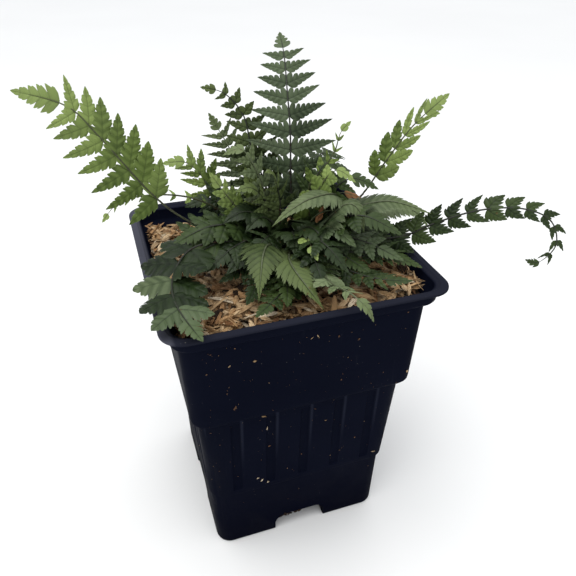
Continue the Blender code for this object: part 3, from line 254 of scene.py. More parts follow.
class Filler(NamedTuple):
    """A small frond of the crown's thick middle, part of a larger one's piece (millimetres)."""

    bearing: float
    reach: float  # distance of its tip from the crown's axis
    top: float  # height of its arch
    tip: float  # height of its tip
    pairs: int
    leaflet: float  # length of its longest leaflets
    tongue: float
    leaf: str = ""  # key of its leaf colour, where it isn't its host's
    whole: bool = False  # leaflets grown together into one blade
    bends: str = ""  # as a frond's


# By the frond that they are part of
FILLERS = {
    "frond_left_dark": (
        (258, 29, 148, 145, 4, 13, 12, "", True),
        (244, 23, 146, 142, 4, 12, 11, "", True),
        (276, 30, 143, 140, 4, 12, 11, "", False, "00000a03"),
    ),
    "frond_shade": (
        (192, 26, 142, 137, 4, 13, 12, "", True),
        (168, 30, 144, 137, 4, 13, 12, "", True),
        (214, 22, 139, 135, 4, 11, 10, "", False, "00000005"),
        (180, 40, 139, 132, 4, 11, 10),
    ),
    "frond_left_low": (
        (217, 46, 131, 128, 5, 9, 10),
        (242, 43, 139, 134, 4, 12, 11, "", False, "00030000"),
        (234, 39, 137, 133, 4, 13, 11, "", True),
        (226, 30, 140, 136, 4, 12, 11, "", False, "00005010"),
    ),
    "frond_small_front": (
        (199, 46, 132, 129, 5, 10, 10),
        (175, 43, 134, 131, 5, 10.5, 10),
    ),
    "frond_young_mid": (
        (180, 33, 142, 139, 3, 6, 7),
    ),
    "frond_arch_right": (
        (151, 34, 144, 140, 3, 10, 10, "mature"),
        (136, 27, 148, 146, 2, 5, 7, "dry"),
    ),
    "frond_right_mulch": (
        (137, 47, 149, 145, 3, 13, 15),
        (136, 49, 138, 134, 4, 11, 11, "mature"),
    ),
    "frond_right_low": (
        (150, 42, 134, 131, 5, 12, 12),
        (122, 40, 140, 136, 4, 12, 12, "", True),
    ),
    "frond_back_right": (
        (112, 35, 158, 154, 4, 11, 12),
        (93, 22, 162, 158, 4, 12, 12),
        (70, 34, 156, 152, 4, 11, 12),
    ),
    "frond_left": (
        (259, 49, 145, 141, 4, 12, 12, "", False, "00010000"),
        (251, 51, 140, 136, 4, 12, 12, "", True),
    ),
    "frond_right_pale": (
        (118, 56, 151, 147, 4, 11, 11, "", True),
        (100, 30, 150, 147, 2, 6, 8, "dry"),
    ),
    "frond_unfurling": (
        (120, 26, 162, 158, 4, 7, 9),
    ),
    "frond_back_pale": (
        (292, 25, 168, 166, 5, 11, 9),
    ),
    "frond_back_left": (
        (236, 14, 162, 164, 5, 11, 9),
        (262, 22, 156, 156, 4, 11, 10),
    ),
}
# The joined leaflets of FINGERS: width, taper and depth of cuts; other blades have the last row
MERGED = {"frond_star": (1.22, 1.55, 0.46), "frond_front": (1.05, 1.25, 0.44),
          "": (0.95, 1.12, 0.36)}
# Leaflets of another colour than the rest of their frond: by frond, pair and side
TONGUE = (-1, 0)
ACCENTS = {
    ("frond_left_corner", 2, 1): "mid", ("frond_left_corner", 4, 1): "mature",
    ("frond_left_corner", 4, -1): "mature", ("frond_left_corner", *TONGUE): "mature",
}
EXTRA_LEAVES = ("deep", "mature", "mid", "fresh", "dry")
LEAF_SLOT, STEM_SLOT, SCALE_SLOT, FIRST_EXTRA_SLOT = range(4)
FILLER_BARE = 0.38
FILLER_RISE = 0.009
OUTER_RING_ABOVE = 0.028  # reach of a filler that stands in the outer ring
SCALES_A_STALK = 60

# Leaf colours in thousandths: shade, body, light, rim, vein and young; then gloss and veining
LEAVES = {
    "mature": ((14, 24, 11), (43, 64, 30), (84, 112, 60), (110, 140, 80), (9, 16, 7),
               (74, 108, 40), 0.46, 0.50),
    # A darker green of the lower fronds, partly painted shade
    "deep": ((6, 13, 4), (20, 36, 9), (42, 66, 18), (66, 94, 36), (5, 10, 3),
             (40, 64, 18), 0.44, 0.50),
    # Painted shade: the leaf colour darkened for the fronds that lie in the shade of the crown's
    # thick middle and low left
    "painted_shade": ((2, 6, 1), (8, 17, 4), (24, 40, 13), (48, 70, 32), (2, 5, 1),
              (18, 32, 9), 0.42, 0.40),
    "olive": ((8, 17, 4), (30, 46, 13), (82, 112, 38), (124, 156, 74), (9, 17, 4),
              (130, 172, 52), 0.50, 0.60),
    "mid": ((22, 36, 15), (70, 96, 44), (150, 188, 96), (200, 240, 140), (24, 36, 15),
            (120, 158, 54), 0.50, 0.42),
    "fresh": ((45, 75, 13), (112, 165, 34), (215, 290, 78), (290, 370, 150), (45, 68, 16),
              (270, 345, 115), 0.50, 0.40),
    "dry": ((80, 30, 12), (230, 95, 36), (380, 200, 90), (420, 240, 120), (60, 26, 12),
            (300, 150, 60), 0.70, 0.40),
}
BROWN_SPOT = (100, 55, 20)
# Stalks: name, colour of the foot and of the tip, gloss
STEMS = {
    "mature": ("dark_stalk", (7, 6, 4), (16, 21, 10), 0.42),
    "mid": ("mid_stalk", (10, 9, 5), (100, 125, 60), 0.45),
    "fresh": ("young_stalk", (12, 11, 6), (70, 85, 30), 0.42),
}
# Crumbly things: name, dark, light and fleck colours
EARTHS = {
    "scale": ("stalk_scales", (20, 10, 5), (60, 30, 14), (140, 75, 35)),
    "bark": ("bark_bits", (10, 6, 4), (35, 20, 12), (90, 55, 30)),
    "mix": ("growing_mix", (6, 4, 3), (22, 14, 9), (70, 45, 28)),
    "crown": ("rhizome", (14, 8, 5), (50, 28, 14), (130, 75, 36)),
}
HULL_STOPS = ((0.00, (55, 28, 14)), (0.10, (160, 75, 34)), (0.24, (330, 165, 72)),
              (0.45, (480, 285, 130)), (0.70, (600, 400, 205)), (0.90, (720, 530, 320)),
              (1.00, (820, 690, 500)))
# Specks in the pot's plastic: scale of their pattern, size, colour and amount
SPECKS = ((420.0, 0.085, (340, 320, 280), 0.55), (900.0, 0.110, (200, 200, 220), 0.45),
          (240.0, 0.055, (450, 260, 140), 0.70))


# Materials

class Value:
    """A number or colour that a node tree works out at each point."""

    def __init__(self, tree, socket):
        self.tree = tree
        self.socket = socket

    def maths(self, operation, other=0.0):
        """This number and another through a maths node."""
        return add_node(self.tree, "Math", {0: self, 1: other}, operation=operation)[0]

    def __add__(self, other):
        return self.maths("ADD", other)

    def __sub__(self, other):
        return self.maths("SUBTRACT", other)

    def __mul__(self, other):
        return self.maths("MULTIPLY", other)

    def __truediv__(self, other):
        return self.maths("DIVIDE", other)

    def __abs__(self):
        return self.maths("ABSOLUTE")

    def spread(self, low, high, to_low=0.0, to_high=1.0, easing="SMOOTHSTEP"):
        """Maps a range onto another, clamped."""
        values = dict(enumerate((self, low, high, to_low, to_high)))
        return add_node(self.tree, "MapRange", values, interpolation_type=easing)[0]


def feed(tree, node, inputs):
    """Sets or links inputs of a node, by their number or name."""
    for key, value in inputs.items():
        if isinstance(value, Value):
            tree.links.new(value.socket, node.inputs[key])
        else:
            node.inputs[key].default_value = value


def add_node(tree, kind, inputs, **properties):
    """The outputs of a new node."""
    node = tree.nodes.new("ShaderNode" + kind)
    for key, value in properties.items():
        setattr(node, key, value)
    feed(tree, node, inputs)
    return [Value(tree, socket) for socket in node.outputs]


def colour_of(thousandths):
    """A colour of four channels from three in thousandths."""
    return (*(v / 1000 for v in thousandths), 1.0)


class Paint:
    """A material in the making: its node tree, and the colour that it has so far."""

    def __init__(self, name):
        self.material = bpy.data.materials.new(name)
        self.material.use_nodes = True
        self.tree = self.material.node_tree
        self.place = self.node("TexCoord", {})[3]
        self.colour = None

    def node(self, kind, inputs, **properties):
        """The outputs of a new node of this material."""
        return add_node(self.tree, kind, inputs, **properties)

    def noise(self, scale, detail, rough, place=None):
        """A noise texture's factor."""
        return self.node("TexNoise", {"Vector": place or self.place, "Scale": scale,
                                      "Detail": detail, "Roughness": rough})[0]

    def cells(self, scale):
        """Distances from scattered spots, and a random colour for each."""
        return self.node("TexVoronoi", {"Vector": self.place, "Scale": scale})[:2]

    def channels(self):
        """The four channels of the mesh's colour attribute."""
        colour, _, _, fourth = self.node("Attribute", {}, attribute_name="leaf")
        return *self.node("SeparateColor", {0: colour}), fourth

    def ramp(self, factor, stops):
        """Starts the colour with a ramp over (place, colour) stops."""
        node = self.tree.nodes.new("ShaderNodeValToRGB")
        elements = node.color_ramp.elements
        while len(elements) < len(stops):
            elements.new(0.5)
        for element, (place, colour) in zip(elements, stops):
            element.position = place
            element.color = colour_of(colour)
        feed(self.tree, node, {0: factor})
        self.colour = Value(self.tree, node.outputs[0])

    def tint(self, factor, colour):
        """Mixes a colour in."""
        inputs = {0: factor, 6: self.colour, 7: colour_of(colour)}
        self.colour = self.node("Mix", inputs, data_type="RGBA")[2]

    def finish(self, rough, specular, height=None, strength=0.0, distance=0.0):
        """The material, with its shader fed."""
        inputs = {"Base Color": self.colour, "Roughness": rough, "Specular IOR Level": specular}
        if height is not None:
            inputs["Normal"] = self.node("Bump", {"Strength": strength, "Distance": distance,
                                                  "Height": height})[0]
        feed(self.tree, self.tree.nodes["Principled BSDF"], inputs)
        return self.material


def leaf_material(name, shade, body, light, rim, vein, young, gloss, veined):
    """A blade: colour by place, vein, rim, leaflet and frond, with veins raised; painted highlight
    on the raised middle of each lobe, and painted shade towards the frond's foot.
    """
    paint = Paint(name)
    side, between, own, along = paint.channels()
    mottle = paint.noise(900.0, 3.0, 0.65)
    tone = paint.noise(90.0, 4.0, 0.6) * 0.75 + own * 0.60 + mottle * 0.25
    puff = between.spread(0.25, 0.9)
    lateral = between.spread(0.16, 0.0) * side.spread(0.96, 0.6)
    spots = paint.cells(260.0)[0].spread(0.16, 0.06) * own.spread(0.80, 0.92)
    paint.ramp(tone, ((0.38, shade), (0.78, body), (1.0, light)))
    paint.tint(along.spread(0.35, 1.0) * 0.75, young)
    # Painted highlight on the raised middle of each lobe
    paint.tint(puff * 0.30, light)
    # Painted shade towards the frond's foot, in the crown's thick middle
    paint.tint(along.spread(0.34, 0.08) * 0.62, shade)
    paint.tint(lateral * (0.6 * veined), vein)
    paint.tint(side.spread(0.12, 0.03) * veined, vein)
    paint.tint(side.spread(0.88, 1.0) * 0.45, rim)
    paint.tint(spots * 0.7, BROWN_SPOT)
    rough = mottle.spread(0.3, 0.7, gloss - 0.08, gloss + 0.12)
    return paint.finish(rough, 0.20, mottle * 0.35 + puff * 0.8, 0.55, 0.00025)


def stem_material(name, low, high, gloss):
    """A stalk: dark and scaly at its foot, greener to its tip."""
    paint = Paint(name)
    along = paint.channels()[3]
    grain = paint.noise(1400.0, 4.0, 0.65)
    middle = [0.5 * (a + b) for a, b in zip(low, high)]
    paint.ramp(along + paint.noise(160.0, 3.0, 0.55) * 0.25,
               ((0.15, low), (0.75, middle), (1.0, high)))
    paint.tint(grain.spread(0.45, 0.75) * 0.35, [2.2 * c + 10 for c in high])
    return paint.finish(grain.spread(0.3, 0.7, gloss, gloss + 0.2), 0.4, grain, 0.5, 0.0002)


def hull_material():
    """Rice hulls: straw colours by piece, with fine lengthwise ridges, and painted shade on the
    hulls that lie low in the layer.
    """
    paint = Paint("rice_hulls")
    across, _, own, deep = paint.channels()
    grain = paint.noise(1500.0, 4.0, 0.7)
    ridge = abs((across * 15.0).maths("SINE"))
    paint.ramp(own, HULL_STOPS)
    paint.tint(paint.noise(220.0, 4.0, 0.6).spread(0.52, 0.72) * 0.55, (160, 75, 35))
    paint.tint(ridge * 0.22, (120, 60, 30))
    paint.tint(grain.spread(0.5, 0.8) * 0.35, (800, 640, 420))
    # Painted shade: hulls that lie low in the layer, under the others, are darker
    paint.tint(deep.spread(0.75, 0.1) * 0.62, (35, 18, 10))
    rough = grain.spread(0.3, 0.7, 0.62, 0.88)
    return paint.finish(rough, 0.25, ridge + grain * 1.2, 0.7, 0.0003)


def earth_material(name, dark, light, fleck):
    """Damp mix, bark or rhizome: crumbly, with paler flecks."""
    paint = Paint(name)
    crumb = paint.noise(420.0, 6.0, 0.7)
    fine = paint.noise(2600.0, 3.0, 0.6)
    paint.ramp(crumb, ((0.35, dark), (0.55, light), (0.75, fleck)))
    paint.tint(fine.spread(0.55, 0.75) * 0.4, fleck)
    return paint.finish(fine.spread(0.3, 0.7, 0.78, 0.98), 0.2, crumb + fine, 0.9, 0.0008)


def pot_material():
    """Moulded black plastic with a blue cast: fine grain, dust, streaks and specks, with painted
    shade towards the bottom, painted highlights along the grooves' edges and a painted highlight
    round the rim.
    """
    paint = Paint("pot_plastic")
    across, depth, height = paint.node("SeparateXYZ", {0: paint.place})
    grain = paint.noise(3200.0, 2.0, 0.5)
    cloud = paint.noise(45.0, 5.0, 0.6)
    paint.ramp(paint.noise(14.0, 3.0, 0.5), ((0.30, (3.4, 4.4, 10.5)), (0.70, (5.2, 6.6, 14.8))))
    # Painted shade: darker towards the bottom
    paint.tint(height.spread(0.055, 0.0, 0.0, 0.75), (1.0, 1.3, 6.0))
    paint.tint(cloud.spread(0.50, 0.78) * grain.spread(0.40, 0.75) * 0.10, (40, 44, 60))
    on_front = abs(depth).maths("GREATER_THAN", abs(across))
    along = depth + on_front * (across - depth)
    nearest = (along / GROOVE_SPACING).maths("ROUND") * GROOVE_SPACING
    # Painted highlight: a thin lighter line along one edge of each groove (the right-hand one on
    # the front), growing towards the groove's upper end
    groove_edge_highlight = abs(along - nearest - GROOVE_WIDTH / 2).spread(0.0009, 0.0002)
    groove_edge_highlight *= height.spread(GROOVE_LOW_Z + 0.010, GROOVE_HIGH_Z - 0.004)
    groove_edge_highlight *= height.spread(STEP_Z, STEP_Z - 0.003)
    paint.tint(groove_edge_highlight * 0.55, (20, 23, 38))
    # Painted highlight along the top of the rim, strongest on the left side
    rim = height.spread(POT_HEIGHT - RIM_DEPTH, POT_HEIGHT - 0.0006)
    paint.tint(rim * across.spread(-0.0480, -0.0500, 0.18, 0.90), (66, 68, 88))
    stretched = paint.node("Mapping", {"Vector": paint.place, "Scale": (1.0, 1.0, 0.12)})[0]
    streak = paint.noise(420.0, 3.0, 0.6, stretched)
    paint.tint(streak.spread(0.66, 0.80) * 0.12, (40, 43, 56))
    patch = paint.noise(60.0, 2.0, 0.5).spread(0.45, 0.62)
    for scale, size, colour, amount in SPECKS:
        distance, pick = paint.cells(scale)
        chosen = paint.node("SeparateColor", {0: pick})[0].spread(0.90, 0.93)
        paint.tint(distance.spread(size, size * 0.5) * chosen * patch * amount, colour)
    rough = cloud.spread(0.35, 0.75, 0.42, 0.66)
    return paint.finish(rough, 0.004, grain + streak * 0.6, 0.22, 0.00012)


def make_materials():
    """Every material, by its key."""
    leaves = {key: leaf_material(f"{key}_leaf", *row) for key, row in LEAVES.items()}
    stems = {f"{key}_stem": stem_material(*row) for key, row in STEMS.items()}
    earths = {key: earth_material(*row) for key, row in EARTHS.items()}
    return {**leaves, **stems, **earths, "hulls": hull_material(), "pot": pot_material()}


# Meshes

def link_object(name, data):
    """An object of the scene."""
    obj = bpy.data.objects.new(name, data)
    bpy.context.scene.collection.objects.link(obj)
    return obj


class Build:
    """Collects the points, faces, tones and slots of one piece."""

    def __init__(self):
        self.points = []
        self.faces = []
        self.tones = []
        self.slots = []

    def put(self, points, faces, tones, slot):
        """Adds a part: its points, faces and tones."""
        first = len(self.points)
        self.points += [tuple(point) for point in points]
        self.faces += [[first + i for i in face] for face in faces]
        self.tones += [tuple(tone) for tone in tones]
        self.slots += [slot] * len(faces)

    def finish(self, name, materials):
        """The object of all parts."""
        data = bpy.data.meshes.new(name)
        data.from_pydata(self.points, [], self.faces)
        layer = data.attributes.new("leaf", "FLOAT_COLOR", "POINT")
        layer.data.foreach_set("color", np.array(self.tones, np.float32).ravel())
        for material in materials:
            data.materials.append(material)
        data.polygons.foreach_set("material_index", self.slots)
        data.polygons.foreach_set("use_smooth", [True] * len(self.faces))
        data.update()
        return link_object(name, data)


def grid_faces(rows, columns, flip=False):
    """Quads over a grid of points, row by row."""
    faces = []
    for r in range(rows - 1):
        for c in range(columns - 1):
            a = r * columns + c
            quad = (a, a + 1, a + columns + 1, a + columns)
            faces.append(quad[::-1] if flip else quad)
    return faces


def brought(foot, directions, local):
    """World points of local ones, from the foot and the directions of the three axes."""
    points = np.array(foot)
    for direction, values in zip(directions, local.T):
        points = points + np.outer(values, np.array(direction))
    return points


# Lines and leaflets of the fronds, as in the solids

def ring_point(radius, bearing, z):
    """A point round the crown's axis."""
    angle = math.radians(bearing)
    return Vector((CROWN_X + radius * math.sin(angle), CROWN_Y + radius * math.cos(angle), z))


def curve_through(points):
    """A smooth line through the points, straight from the first to the second."""
    line = [points[0]]
    for i in range(1, len(points) - 1):
        before, start, end = points[i - 1], points[i], points[i + 1]
        after = points[min(i + 2, len(points) - 1)]
        for step in range(CURVE_STEPS):
            t = step / CURVE_STEPS
            line.append(0.5 * (2 * start + (end - before) * t
                               + (2 * before - 5 * start + 4 * end - after) * t ** 2
                               + (3 * start - before - 3 * end + after) * t ** 3))
    line.append(points[-1])
    return line


class Line:
    """A frond's rib: its place and direction at a distance from the foot."""

    def __init__(self, frond):
        radius, tilt = SEATS[frond.ring]
        tilt, angle = math.radians(tilt), math.radians(frond.bearing)
        foot = ring_point(radius, frond.bearing, SEAT_Z)
        away = (Vector((math.sin(angle), math.cos(angle), 0.0)) * math.sin(tilt)
                + Vector((0, 0, math.cos(tilt))))
        self.points = curve_through([foot, foot + away * SEAT_RUN]
                                    + [Vector(p) for p in frond.route])
        self.facing = Vector(frond.facing).normalized()
        self.run = [0.0]
        for a, b in zip(self.points, self.points[1:]):
            self.run.append(self.run[-1] + (b - a).length)
        self.length = self.run[-1]
        self.steps = np.linspace(0.0, self.length, 240)
        frames = [(self.at(d), *self.frame(d)) for d in self.steps]
        self.middles, self.alongs, self.rights, self.ups = (
            np.array([tuple(f[k]) for f in frames]) for k in range(4))

    def at(self, distance):
        """The point on the rib at this distance."""
        distance = max(0.0, min(self.length, distance))
        i = max(k for k in range(len(self.run) - 1) if self.run[k] <= distance)
        share = (distance - self.run[i]) / (self.run[i + 1] - self.run[i])
        return self.points[i].lerp(self.points[i + 1], share)

    def frame(self, distance):
        """Directions along the rib, to its right, and out of its upper face."""
        reach = 0.002
        along = (self.at(distance + reach) - self.at(distance - reach)).normalized()
        right = along.cross(self.facing).normalized()
        return along, right, right.cross(along).normalized()

    def bring(self, x, y, z):
        """World points from arrays of distance, offset to the right, and rise."""
        def read(table):
            return np.stack([np.interp(x, self.steps, table[:, k]) for k in range(3)], -1)
        beyond = np.clip(x - self.length, 0.0, None)[..., None]
        return (read(self.middles) + read(self.alongs) * beyond
                + read(self.rights) * y[..., None] + read(self.ups) * z[..., None])


def leaflet_half(frond, spacing, length, angle):
    """Half width of a leaflet, held in where its foot would reach back over the rib."""
    widest = 0.36 if length < ONE_TOOTH_BELOW else 0.26 if length < THREE_TEETH_ABOVE else 0.20
    room = widest * length * math.sin(angle) - STALK_WIDTH / 2
    room /= max(0.05, math.cos(angle))
    return max(LEAST_HALF, min(frond.breadth * spacing * math.sin(angle), room))


def leaflet_axes(line, place, side, angle, lift):
    """Directions out along a leaflet, across it to the frond's tip, and up from its face."""
    along, right, up = line.frame(place)
    flat = math.cos(angle) * along + math.sin(angle) * side * right
    turn = math.radians(lift)
    out = math.cos(turn) * flat + math.sin(turn) * up
    upward = math.cos(turn) * up - math.sin(turn) * flat
    return out, side * upward.cross(out), upward


def leaflets_of(frond, line):
    """Pair, side, share of the blade, length, half width, foot and axes of each leaflet."""
    start = frond.bare * line.length
    blade = line.length - frond.tongue - start
    places = [start + blade * (1 - (1 - j / frond.pairs) ** PAIR_CROWDING)
              for j in range(frond.pairs + 1)]
    bends = iter(frond.bends or "00" * frond.pairs)
    for pair, (place, after) in enumerate(zip(places, places[1:])):
        share = (place - start) / blade
        full = frond.reach * min(1.0, 0.85 + 1.2 * share)
        for side in (1, -1):
            angle = math.radians(frond.angle - ANGLE_LOSS * share - frond.skew * side)
            lift, scale = BENDS[int(next(bends), 16)]
            length = frond.least + (full - frond.least) * (1.0 - share) ** frond.taper
            length *= scale
            half = leaflet_half(frond, after - place, length, angle)
            axes = leaflet_axes(line, place, side, angle, lift)
            yield pair, side, share, length, half, line.at(place), axes


def rib_size(share):
    """Width and thickness of the stalk and rib, foot to tip."""
    ease = share ** 1.3
    return (STALK_WIDTH + (RIB_END_WIDTH - STALK_WIDTH) * ease,
            STALK_THICKNESS + (RIB_END_THICKNESS - STALK_THICKNESS) * ease)


# Blades

SWEEP = 0.62  # how far a point leans ahead, as a share of its reach across
LEAFLET_FOOT = 0.08  # share of the length over which a blade widens from its foot
TONGUE_FOOT = 0.04
TONGUE_RISE = 0.0001
VEIN_PEAK = 0.45  # place in a lobe where the blade is highest
MERGED_PEAK = 0.5
MERGED_TOOTH = 0.0029
STEM_SHARE = 0.30
STEM_STEP = 0.0016
STEM_SIDES = 9
STEM_GROOVE = 0.72
STEM_THINNING = 0.012  # length of the rib's thin end
COLUMNS = (0.0, 0.10, 0.32, 0.60, 0.84, 1.0)
GRID_COLUMNS = 2 * len(COLUMNS) - 1


def outline(style, length, half, auricle, foot):
    """Stations along a blade: place, half width on each side, and phase in its lobe."""
    lobes = max(2, min(12, round(length / style.tooth)))
    rows = []
    for lobe in range(lobes):
        for fraction, fill in style.edge:
            t = (lobe + fraction) / lobes
            shape = (1.0 - t ** style.full) ** 0.9
            base = min(1.0, (0.14 + t / foot) ** 0.5)
            cut = style.cut * (1.0 - 0.45 * t) * (1.0 - fill)
            swell = 1.0 + auricle * math.exp(-(t / 0.14) ** 2)
            upper = half * base * shape * (1.0 - cut) * swell
            lower = half * base * shape * (1.0 - cut * style.under) * (1.0 - 0.15 * auricle)
            rows.append((t, upper, lower, fraction))
    rows.append((1.0, 0.0, 0.0, 0.5))
    return rows


def across_blade(rows, peak):
    """For each point of a blade: its row, side, share and reach across, and vein phase."""
    for row in rows:
        phase = math.cos(2 * math.pi * (row[3] - peak))
        for sign, width, order in ((-1, row[2], reversed(COLUMNS)), (1, row[1], COLUMNS[1:])):
            for s in order:
                yield row, sign, s, s * width, phase


def blade_grid(style, length, half, auricle, foot, draw):
    """A blade's local points (x along, y across, z up), tones and number of rows."""
    rows = outline(style, length, half, auricle, foot)
    ripple = draw.uniform(0, 6.28)
    own = draw.random()
    local, tones = [], []
    for (t, *_), sign, s, reach, phase in across_blade(rows, VEIN_PEAK):
        puff = style.vein * phase * s * (1.15 - s)
        groove = -style.vein * 0.9 * math.exp(-(s / 0.12) ** 2)
        fall = -style.cup * reach * reach / max(half, 1e-6)
        wave = 0.035 * half * math.sin(9.0 * t + ripple + sign) * s
        x = t * length + SWEEP * reach * (1.0 - 0.3 * t) * min(1.0, 0.30 + t / 0.20)
        local.append((x, sign * reach, puff + groove + fall + wave))
        tones.append((s, 0.5 + 0.5 * phase, own, 0.0))
    return np.array(local), np.array(tones), len(rows)


def add_leaflet(build, frond, leaflet, slot, draw):
    """A fine leaflet where the plain one lies."""
    style = frond.style
    _, side, share, length, half, foot, axes = leaflet
    length *= draw.uniform(0.96, 1.06)
    half = half * style.width * draw.uniform(0.92, 1.08) * (1 + style.bias * side)
    local, tones, rows = blade_grid(style, length, half, style.auricle, LEAFLET_FOOT, draw)
    x, y, z = local.T
    u = x / length
    z = z - (frond.droop + draw.uniform(-0.03, 0.05)) * length * u ** 2
    y = y + style.hook * length * u ** 2
    twist = math.radians(draw.uniform(-4, 14))
    y, z = y * math.cos(twist) - z * math.sin(twist), y * math.sin(twist) + z * math.cos(twist)
    y = y + draw.uniform(-0.04, 0.04) * length * u ** 2
    tones[:, 3] = 0.15 + 0.60 * share + 0.10 * u
    points = brought(foot, axes, np.stack((x, y, z), -1))
    build.put(points, grid_faces(rows, GRID_COLUMNS, side > 0), tones, slot)


def add_tongue(build, frond, line, slot, draw):
    """The toothed tip of the frond, along its rib."""
    length = frond.tongue * 1.02
    half = min(0.75 * frond.least, 0.36 * frond.tongue)
    style = frond.style._replace(cut=min(0.62, frond.style.cut * 1.4), under=1.0, full=1.25)
    local, tones, rows = blade_grid(style, length, half, 0.0, TONGUE_FOOT, draw)
    x, y, z = local.T
    tones[:, 3] = 0.72 + 0.28 * x / length
    points = line.bring(line.length - frond.tongue + x, y, z + TONGUE_RISE)
    build.put(points, grid_faces(rows, GRID_COLUMNS, True), tones, slot)


def merged_rows(length, half, taper, depth, draw):
    """Stations along a blade of joined leaflets: place, half widths, phase and sweep."""
    lobes = max(7, round(length / MERGED_TOOTH))
    reaches = [[draw.uniform(0.90, 1.08) for _ in range(lobes + 1)] for _ in range(2)]
    rows = []
    for lobe in range(lobes):
        for fraction, fill in NEEDLES:
            t = ((lobe + fraction) / lobes) ** 0.78
            early = max(0.0, 1.0 - t / 0.45)
            cut = min(0.86, depth + 0.44 * early) * (1.0 - fill)
            shape = half * (1.0 - t) ** taper * min(1.0, 0.35 + (t / 0.05) ** 0.5)
            rows.append((t, shape * (1.0 - cut) * reaches[0][lobe],
                         shape * (1.0 - cut) * reaches[1][lobe], fraction, 0.86 - 0.62 * early))
    return rows + [(1.0, 0.0, 0.0, 0.5, 0.5)]


def add_merged(build, frond, line, slot, draw):
    """A blade whose leaflets have grown together along the rib, fingered at its base."""
    start = 0.94 * frond.bare * line.length
    length = line.length - start
    width, taper, depth = MERGED.get(frond.name, MERGED[""])
    rows = merged_rows(length, frond.reach * width, taper, depth, draw)
    own = draw.random()
    local, tones = [], []
    for (t, _, _, _, sweep), sign, s, reach, phase in across_blade(rows, MERGED_PEAK):
        puff = 0.00034 * phase * s * (1.15 - s)
        groove = -0.0004 * math.exp(-(s / 0.10) ** 2)
        fall = -(0.30 + frond.droop) * reach * reach / frond.reach
        ahead = sweep * reach * (0.55 + 0.45 * s)
        local.append((start + t * length + ahead, sign * reach, puff + groove + fall))
        tones.append((s, 0.5 + 0.5 * phase, own, 0.10 + 0.80 * t))
    points = line.bring(*np.array(local).T)
    build.put(points, grid_faces(len(rows), GRID_COLUMNS, True), tones, slot)


def add_stem(build, line, until, draw):
    """The stalk and rib: a tube with a groove along its upper face."""
    count = max(10, round(line.length / STEM_STEP))
    sides = STEM_SIDES
    points, tones = [], []
    for distance in np.linspace(0.0, until, count + 1):
        share = distance / line.length
        width, thickness = rib_size(share)
        radius = STEM_SHARE * width * min(1.0, 0.15 + (until - distance) / STEM_THINNING)
        wobble = 1.0 + 0.05 * math.sin(distance * 2100)
        for k in range(sides):
            angle = 2 * math.pi * k / sides + math.pi / 2
            dip = STEM_GROOVE if k == 0 else 1.0
            points.append((distance, radius * wobble * dip * math.cos(angle),
                           radius / width * thickness * wobble * dip * math.sin(angle)))
            tones.append((0.5, 0.0 if k == 0 else 1.0, draw.random(), share))
    faces = []
    for r in range(count):
        for k in range(sides):
            j = (k + 1) % sides
            faces.append((r * sides + k, (r + 1) * sides + k, (r + 1) * sides + j, r * sides + j))
    faces.append(tuple(range(sides)))
    build.put(line.bring(*np.array(points).T), faces, tones, STEM_SLOT)


# Five points of a scale: shares of its length, of its flare and of its half width
SCALE_POINTS = ((0.0, 0.0, 1.0), (0.0, 0.0, -1.0), (0.5, 0.35, 0.8), (0.5, 0.35, -0.8),
                (1.0, 1.0, 0.0))


def add_scales(build, line, reach, draw):
    """Narrow papery scales on the lower stalk, dense at the foot."""
    for _ in range(SCALES_A_STALK):
        share = draw.random() ** 1.8
        distance = SEAT_RUN * 0.4 + share * reach
        width, thickness = rib_size(distance / line.length)
        angle = draw.uniform(0, 2 * math.pi)
        length = (0.0026 - 0.0016 * share) * draw.uniform(0.6, 1.2)
        half = length * 0.13
        flare = draw.uniform(0.25, 0.75) * length
        cos, sin = math.cos(angle), math.sin(angle)
        local = np.array([(distance + length * ahead,
                           STEM_SHARE * width * cos + (flare * out) * cos - half * wide * sin,
                           STEM_SHARE * thickness * sin + (flare * out) * sin + half * wide * cos)
                          for ahead, out, wide in SCALE_POINTS])
        build.put(line.bring(*local.T), ((0, 1, 3, 2), (2, 3, 4)),
                  [(0.5, 1.0, draw.random(), 0.05)] * len(SCALE_POINTS), SCALE_SLOT)


def filler_frond(filler, host):
    """A filler as a frond, on an even arch from the crown to its tip."""
    reach, top, tip, leaflet, tongue = (
        v / 1000 for v in (filler.reach, filler.top, filler.tip, filler.leaflet, filler.tongue))
    first = CROWN_TOP_Z + FILLER_RISE + 0.5 * (top - CROWN_TOP_Z - FILLER_RISE)
    route = [ring_point(reach * share, filler.bearing, z)
             for share, z in ((FILLER_BARE, first), (0.68, top), (1.0, tip))]
    return host._replace(
        ring="outer" if reach > OUTER_RING_ABOVE else "inner", bearing=filler.bearing,
        route=route, facing=(0.05, -0.40, 1.00), pairs=filler.pairs, reach=leaflet,
        least=0.6 * leaflet, tongue=tongue, bare=FILLER_BARE, angle=72, taper=0.5, droop=0.12,
        breadth=0.48, skew=0.0, bends=filler.bends)


def slot_of(leaf):
    """The material slot of a leaf colour, or of the piece's own where there is none."""
    return FIRST_EXTRA_SLOT + EXTRA_LEAVES.index(leaf) if leaf else LEAF_SLOT


def add_frond(build, frond, leaf, whole, draw):
    """A whole frond: its leaflets, toothed tip, stalk and scales."""
    line = Line(frond)
    if whole:
        add_merged(build, frond, line, slot_of(leaf), draw)
    else:
        for leaflet in leaflets_of(frond, line):
            accent = ACCENTS.get((frond.name, *leaflet[:2]), leaf)
            add_leaflet(build, frond, leaflet, slot_of(accent), draw)
        add_tongue(build, frond, line, slot_of(ACCENTS.get((frond.name, *TONGUE), leaf)), draw)
    add_stem(build, line, line.length - 0.35 * frond.tongue, draw)
    add_scales(build, line, 0.5 * line.length, draw)


